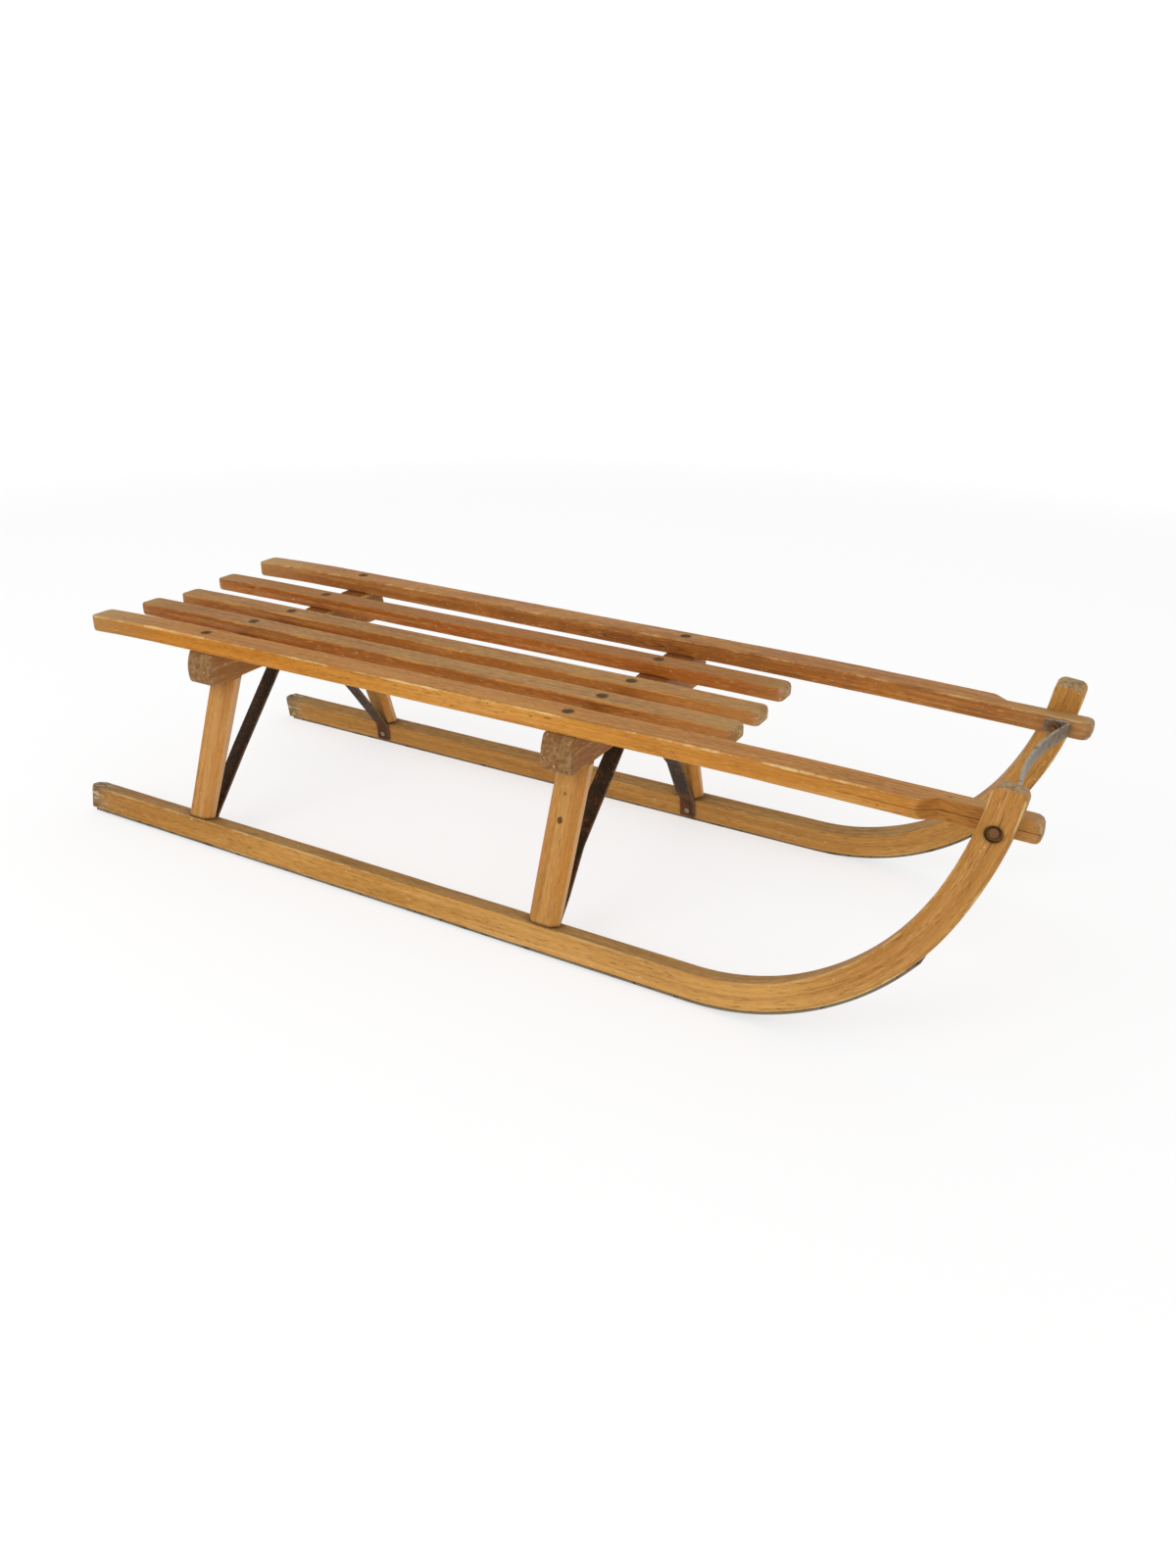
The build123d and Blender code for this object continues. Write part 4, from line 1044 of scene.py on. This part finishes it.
def makeBrace(end, hand, look):
    half = look["thick"] / 2
    tilt = legLook["rake"][end] / (crossUnder - runnerTopZ)
    land = halfTrack + frameZ * math.tan(lean) - (runnerLook["thick"] + half) / math.cos(lean)
    route = [
        (look["padY"], crossUnder - half),
        (look["kneeY"][end], crossUnder - half),
        (legInnerY(look["midZ"]) - look["midGap"][end], look["midZ"]),
        (legInnerY(look["lowZ"]) - look["lowGap"], look["lowZ"]),
        (land - look["landZ"] * math.tan(lean), look["landZ"]),
        (land - look["endZ"] * math.tan(lean), look["endZ"]),
    ]
    middle = crossXs[end] + look["forward"]
    points = [(middle - tilt * (crossUnder - z), sides[hand] * y, z) for y, z in route]
    sizes = {"Width": look["width"], "Thickness": look["thick"], "Edge": look["edge"],
             "Bend": look["bend"], "Across": (1.0, 0.0, 0.0)}

    def rim(at):
        return (at[:, 0] - middle + tilt * (crossUnder - at[:, 2])) / (look["width"] / 2)

    return makeStrip("brace_" + end + "_" + hand, points, "brace_steel", sizes, rim)


for end in crossXs:
    for hand in sides:
        makeBrace(end, hand, braceLook)
print("braces made")


# steel shoes under the runners

shoeLook = {"thick": 2.3 * mm, "rearGap": 14 * mm, "end": math.radians(53.6), "edge": 0.5 * mm, "turns": 39}


def makeShoe(hand, look):
    half = look["thick"] / 2
    away = -runnerLook["thick"] / 2
    centre = runnerLook["bendX"] + runnerLook["swell"]
    radius = runnerLook["bendRadius"] - half
    route = [(runnerLook["rear"] + look["rearGap"], half), (crossMiddle, half), (centre, half)]
    for turn in np.linspace(0, look["end"], look["turns"] + 1)[1:]:
        route.append((centre + radius * math.sin(turn), runnerLook["bendRadius"] - radius * math.cos(turn)))
    points = []
    for forward, upward in route:
        y = halfTrack - upward * math.sin(lean) + away * math.cos(lean)
        z = frameZ + upward * math.cos(lean) + away * math.sin(lean)
        points.append((forward, sides[hand] * y, z))
    width = runnerLook["thick"] - 2 * shoeInset
    sizes = {"Width": width, "Thickness": look["thick"], "Edge": look["edge"], "Bend": 0.0,
             "Across": (0.0, sides[hand] * math.cos(lean), math.sin(lean))}

    def rim(at):
        y, z = sides[hand] * at[:, 1] - halfTrack, at[:, 2] - frameZ
        return 2 * (y * math.cos(lean) + z * math.sin(lean) - away) / width

    return makeStrip("runner_shoe_" + hand, points, "shoe_steel", sizes, rim)


for hand in sides:
    makeShoe(hand, shoeLook)
print("shoes made")


# strap between the horns, with a folded pad at each end

strapLook = {
    "thick": 3 * mm, "height": 15 * mm, "padRear": 9.5 * mm, "fold": 15 * mm, "bow": 19 * mm,
    "edge": 0.7 * mm, "bend": 2.4 * mm, "stations": 33,
}


def railInnerY(x):
    return railY(x) - railLook["width"] / 2 * math.sqrt(1 + railTaper**2)


def makeStrap(look):
    boltX = runnerPoint(np.array([boltLength(runnerLook)]), 0.0, runnerLook)[0][0]
    boltZ = runnerLook["boltHeight"]
    foldX, padX = boltX + look["fold"], boltX - look["padRear"]
    foldY, padY = railInnerY(foldX) - look["thick"] / 2, railInnerY(padX) - look["thick"] / 2
    radius = (foldY**2 + look["bow"]**2) / (2 * look["bow"])
    points = [(padX, padY, boltZ)]
    for y in np.linspace(foldY, -foldY, look["stations"]):
        points.append((foldX - look["bow"] + radius - math.sqrt(radius**2 - y**2), y, boltZ))
    points.append((padX, -padY, boltZ))
    sizes = {"Width": look["height"], "Thickness": look["thick"], "Edge": look["edge"],
             "Bend": look["bend"], "Across": (0.0, 0.0, 1.0)}

    def rim(at):
        return (at[:, 2] - boltZ) / (look["height"] / 2)

    return makeStrip("front_strap", points, "strap_steel", sizes, rim)


makeStrap(strapLook)
print("strap made")


# screw heads, grown on points

screwLook = {
    "board": {
        "Radius": 5.5 * mm, "Height": 1.4 * mm, "Slot": 1.1 * mm, "Slot Depth": 0.8 * mm,
        "Round": False, "Seed": 3},
    "brace": {
        "Radius": 3.5 * mm, "Height": 2.3 * mm, "Slot": 0.9 * mm, "Slot Depth": 1.0 * mm,
        "Round": True, "Seed": 8},
    "sink": 0.45 * mm, "braceZ": 15 * mm, "padY": 7.5 * mm,
}


def screwWeave():
    w = Weave("screwHeads", {
        "Radius": ("Float", 5.5 * mm), "Height": ("Float", 1.5 * mm), "Slot": ("Float", 1.1 * mm),
        "Slot Depth": ("Float", 0.9 * mm), "Round": ("Bool", False), "Seed": ("Int", 3),
        "Steel": ("Material", None)})
    flat = w.node("GeometryNodeMeshCylinder", {"fill_type": "NGON"}, {
        "Vertices": 28, "Radius": w.size("Radius"), "Depth": w.size("Height")})
    ball = w.node("GeometryNodeMeshUVSphere", inputs={"Segments": 24, "Rings": 12, "Radius": 1.0})
    domeSize = w.vector(w.size("Radius"), w.size("Radius"), w.size("Height"))
    dome = w.node("GeometryNodeTransform", inputs={"Geometry": ball.outputs[0], "Scale": domeSize})
    head = w.node("GeometryNodeSwitch", {"input_type": "GEOMETRY"}, {
        0: w.size("Round"), 1: flat.outputs[0], 2: dome.outputs[0]})
    barSize = w.vector(w.times("Radius", 2.4), w.size("Slot"), w.times("Slot Depth", 2.0))
    bar = w.node("GeometryNodeMeshCube", inputs={"Size": barSize})
    top = w.node("GeometryNodeSwitch", {"input_type": "FLOAT"}, {
        0: w.size("Round"), 1: w.times("Height", 0.5), 2: w.size("Height")})
    raised = w.node("GeometryNodeTransform", inputs={
        "Geometry": bar.outputs[0], "Translation": w.vector(z=top.outputs[0])})
    slotted = w.node("GeometryNodeMeshBoolean", {"operation": "DIFFERENCE", "solver": "EXACT"}, {
        0: head.outputs[0], 1: raised.outputs[0]})
    facing = w.node("GeometryNodeInputNamedAttribute", {"data_type": "FLOAT_VECTOR"}, {0: "facing"})
    upright = w.node("FunctionNodeAlignRotationToVector", {"axis": "Z"}, {"Vector": facing.outputs[0]})
    spin = w.node("FunctionNodeRandomValue", {"data_type": "FLOAT"}, {
        2: 0.0, 3: math.pi, "Seed": w.size("Seed")})
    twist = w.node("FunctionNodeAxisAngleToRotation", inputs={"Axis": (0, 0, 1), "Angle": spin.outputs[1]})
    both = w.node("FunctionNodeRotateRotation", {"rotation_space": "LOCAL"}, {
        0: upright.outputs[0], 1: twist.outputs[0]})
    placed = w.node("GeometryNodeInstanceOnPoints", inputs={
        "Points": w.start.outputs["Geometry"], "Instance": slotted.outputs[0], "Rotation": both.outputs[0]})
    w.close(placed.outputs[0], w.size("Steel"))
    return w


screwHeads = screwWeave()


def makeScrews(node, points, facings, sizes, steel):
    base = bpy.data.meshes.new(node + "Points")
    base.from_pydata([tuple(point) for point in points], [], [])
    writeAttribute(base, "facing", "FLOAT_VECTOR", "vector", [tuple(facing) for facing in facings])
    mesh = grown(node + "Look", base, screwHeads, {**sizes, "Steel": steel})
    sharpen(mesh)
    return addPiece(node, mesh, steel)


def boardScrews(look):
    drop = look["sink"] + look["board"]["Height"] / 2
    points = []
    for x in crossXs.values():
        for side in sides.values():
            points.append((x, side * railY(x), railLook["seat"] + railLook["thick"] - drop))
        for y, seat in slatLook["rows"].values():
            points.append((x, y, seat + slatLook["thick"] - drop))
    return points, [(0, 0, 1)] * len(points)


def braceScrews(look):
    points, facings = [], []
    low = look["braceZ"]
    for end, crossX in crossXs.items():
        padX = crossX + braceLook["forward"]
        x = padX - legLook["rake"][end] * (crossUnder - low) / (crossUnder - runnerTopZ)
        y = halfTrack - (low - frameZ) * math.tan(lean) - runnerLook["thick"] / math.cos(lean)
        for side in sides.values():
            inward = Vector((0, -side * math.cos(lean), -math.sin(lean)))
            points.append(Vector((x, side * y, low)) + inward * braceLook["thick"])
            facings.append(inward)
            points.append(Vector((padX, side * look["padY"], crossUnder - braceLook["thick"])))
            facings.append(Vector((0, 0, -1)))
    return points, facings


makeScrews("slat_screws", *boardScrews(screwLook), screwLook["board"], steels["screw_steel"])
makeScrews("brace_screws", *braceScrews(screwLook), screwLook["brace"], steels["nail_steel"])
for node in ("horn_bolt_right", "horn_bolt_left", "horn_nut_right", "horn_nut_left"):
    nodes[node].data.materials.clear()
    nodes[node].data.materials.append(steels["fastener_steel"])
print("screws, bolts and nuts made")


# stage

stageLook = {
    "cameraAt": (0.66699, -1.12255, 0.70800), "lens": 28.15, "sensor": 36.0, "clip": (0.01, 100),
    "right": (0.874206, 0.48528, 0.016317),
    "down": (0.219442, -0.364888, -0.904821),
    "depth": (-0.433138, 0.794581, -0.425479),
    "floorSize": 14.0, "floorFade": (2.0, 5.0), "floorGlow": 0.5, "paper": 0.82, "exposure": 0.35,
    "horizonLight": 1.0, "overheadLight": 0.5, "skyFade": (0.25, 0.65),
    "lampAt": (-0.6, -2.4, 1.9), "lampAim": (0, 0, 0.15), "lampSize": 1.6, "lampPower": 16,
}


def makeCamera(look):
    data = bpy.data.cameras.new("studioCamera")
    data.lens = look["lens"]
    data.sensor_width = look["sensor"]
    data.clip_start, data.clip_end = look["clip"]
    camera = bpy.data.objects.new("studioCamera", data)
    right, down, depth = (Vector(look[key]) for key in ("right", "down", "depth"))
    turn = Matrix((right, -down, -depth)).transposed()
    camera.matrix_world = Matrix.Translation(look["cameraAt"]) @ turn.to_4x4()
    scene.collection.objects.link(camera)
    scene.camera = camera


def makeFloor(look):  # pale paper that glows more and more toward the horizon
    s = Sheet("floorPaper")
    x, y, z = s.split(s.coordinates("Object"))
    away = s.smooth(s.maths("SQRT", x * x + y * y), *look["floorFade"])
    paper = s.node("ShaderNodeBsdfDiffuse", inputs={"Color": (look["paper"],) * 3 + (1,)})
    glow = s.node("ShaderNodeEmission", inputs={"Color": (1, 1, 1, 1), "Strength": 1.0})
    mixed = s.node("ShaderNodeMixShader", inputs={
        0: away * (1 - look["floorGlow"]) + look["floorGlow"],
        1: Value(s, paper.outputs[0]), 2: Value(s, glow.outputs[0])})
    s.node("ShaderNodeOutputMaterial", inputs={"Surface": Value(s, mixed.outputs[0])})
    bm = bmesh.new()
    bmesh.ops.create_circle(bm, cap_ends=True, segments=96, radius=look["floorSize"])
    mesh = bpy.data.meshes.new("floor")
    bm.to_mesh(mesh)
    bm.free()
    mesh.materials.append(s.material)
    floor = bpy.data.objects.new("floor", mesh)
    scene.collection.objects.link(floor)


def makeSky(look):  # brightest round the horizon
    world = bpy.data.worlds.new("studioWorld")
    scene.world = world
    world.use_nodes = True
    tree = world.node_tree
    coords = tree.nodes.new("ShaderNodeTexCoord")
    split = tree.nodes.new("ShaderNodeSeparateXYZ")
    fade = tree.nodes.new("ShaderNodeMapRange")
    limits = (*look["skyFade"], look["horizonLight"], look["overheadLight"])
    for label, value in zip(("From Min", "From Max", "To Min", "To Max"), limits):
        fade.inputs[label].default_value = value
    background = tree.nodes["Background"]
    background.inputs["Color"].default_value = (1, 1, 1, 1)
    tree.links.new(coords.outputs["Generated"], split.inputs[0])
    tree.links.new(split.outputs[2], fade.inputs["Value"])
    tree.links.new(fade.outputs[0], background.inputs["Strength"])


def makeLamp(look):
    data = bpy.data.lights.new("keyLight", "AREA")
    data.size = look["lampSize"]
    data.energy = look["lampPower"]
    lamp = bpy.data.objects.new("keyLight", data)
    lamp.location = look["lampAt"]
    toAim = Vector(look["lampAim"]) - Vector(look["lampAt"])
    lamp.rotation_euler = toAim.to_track_quat("-Z", "Y").to_euler()
    scene.collection.objects.link(lamp)


makeCamera(stageLook)
makeFloor(stageLook)
makeSky(stageLook)
makeLamp(stageLook)
scene.view_settings.view_transform = "Standard"
scene.view_settings.exposure = stageLook["exposure"]
print("stage set")
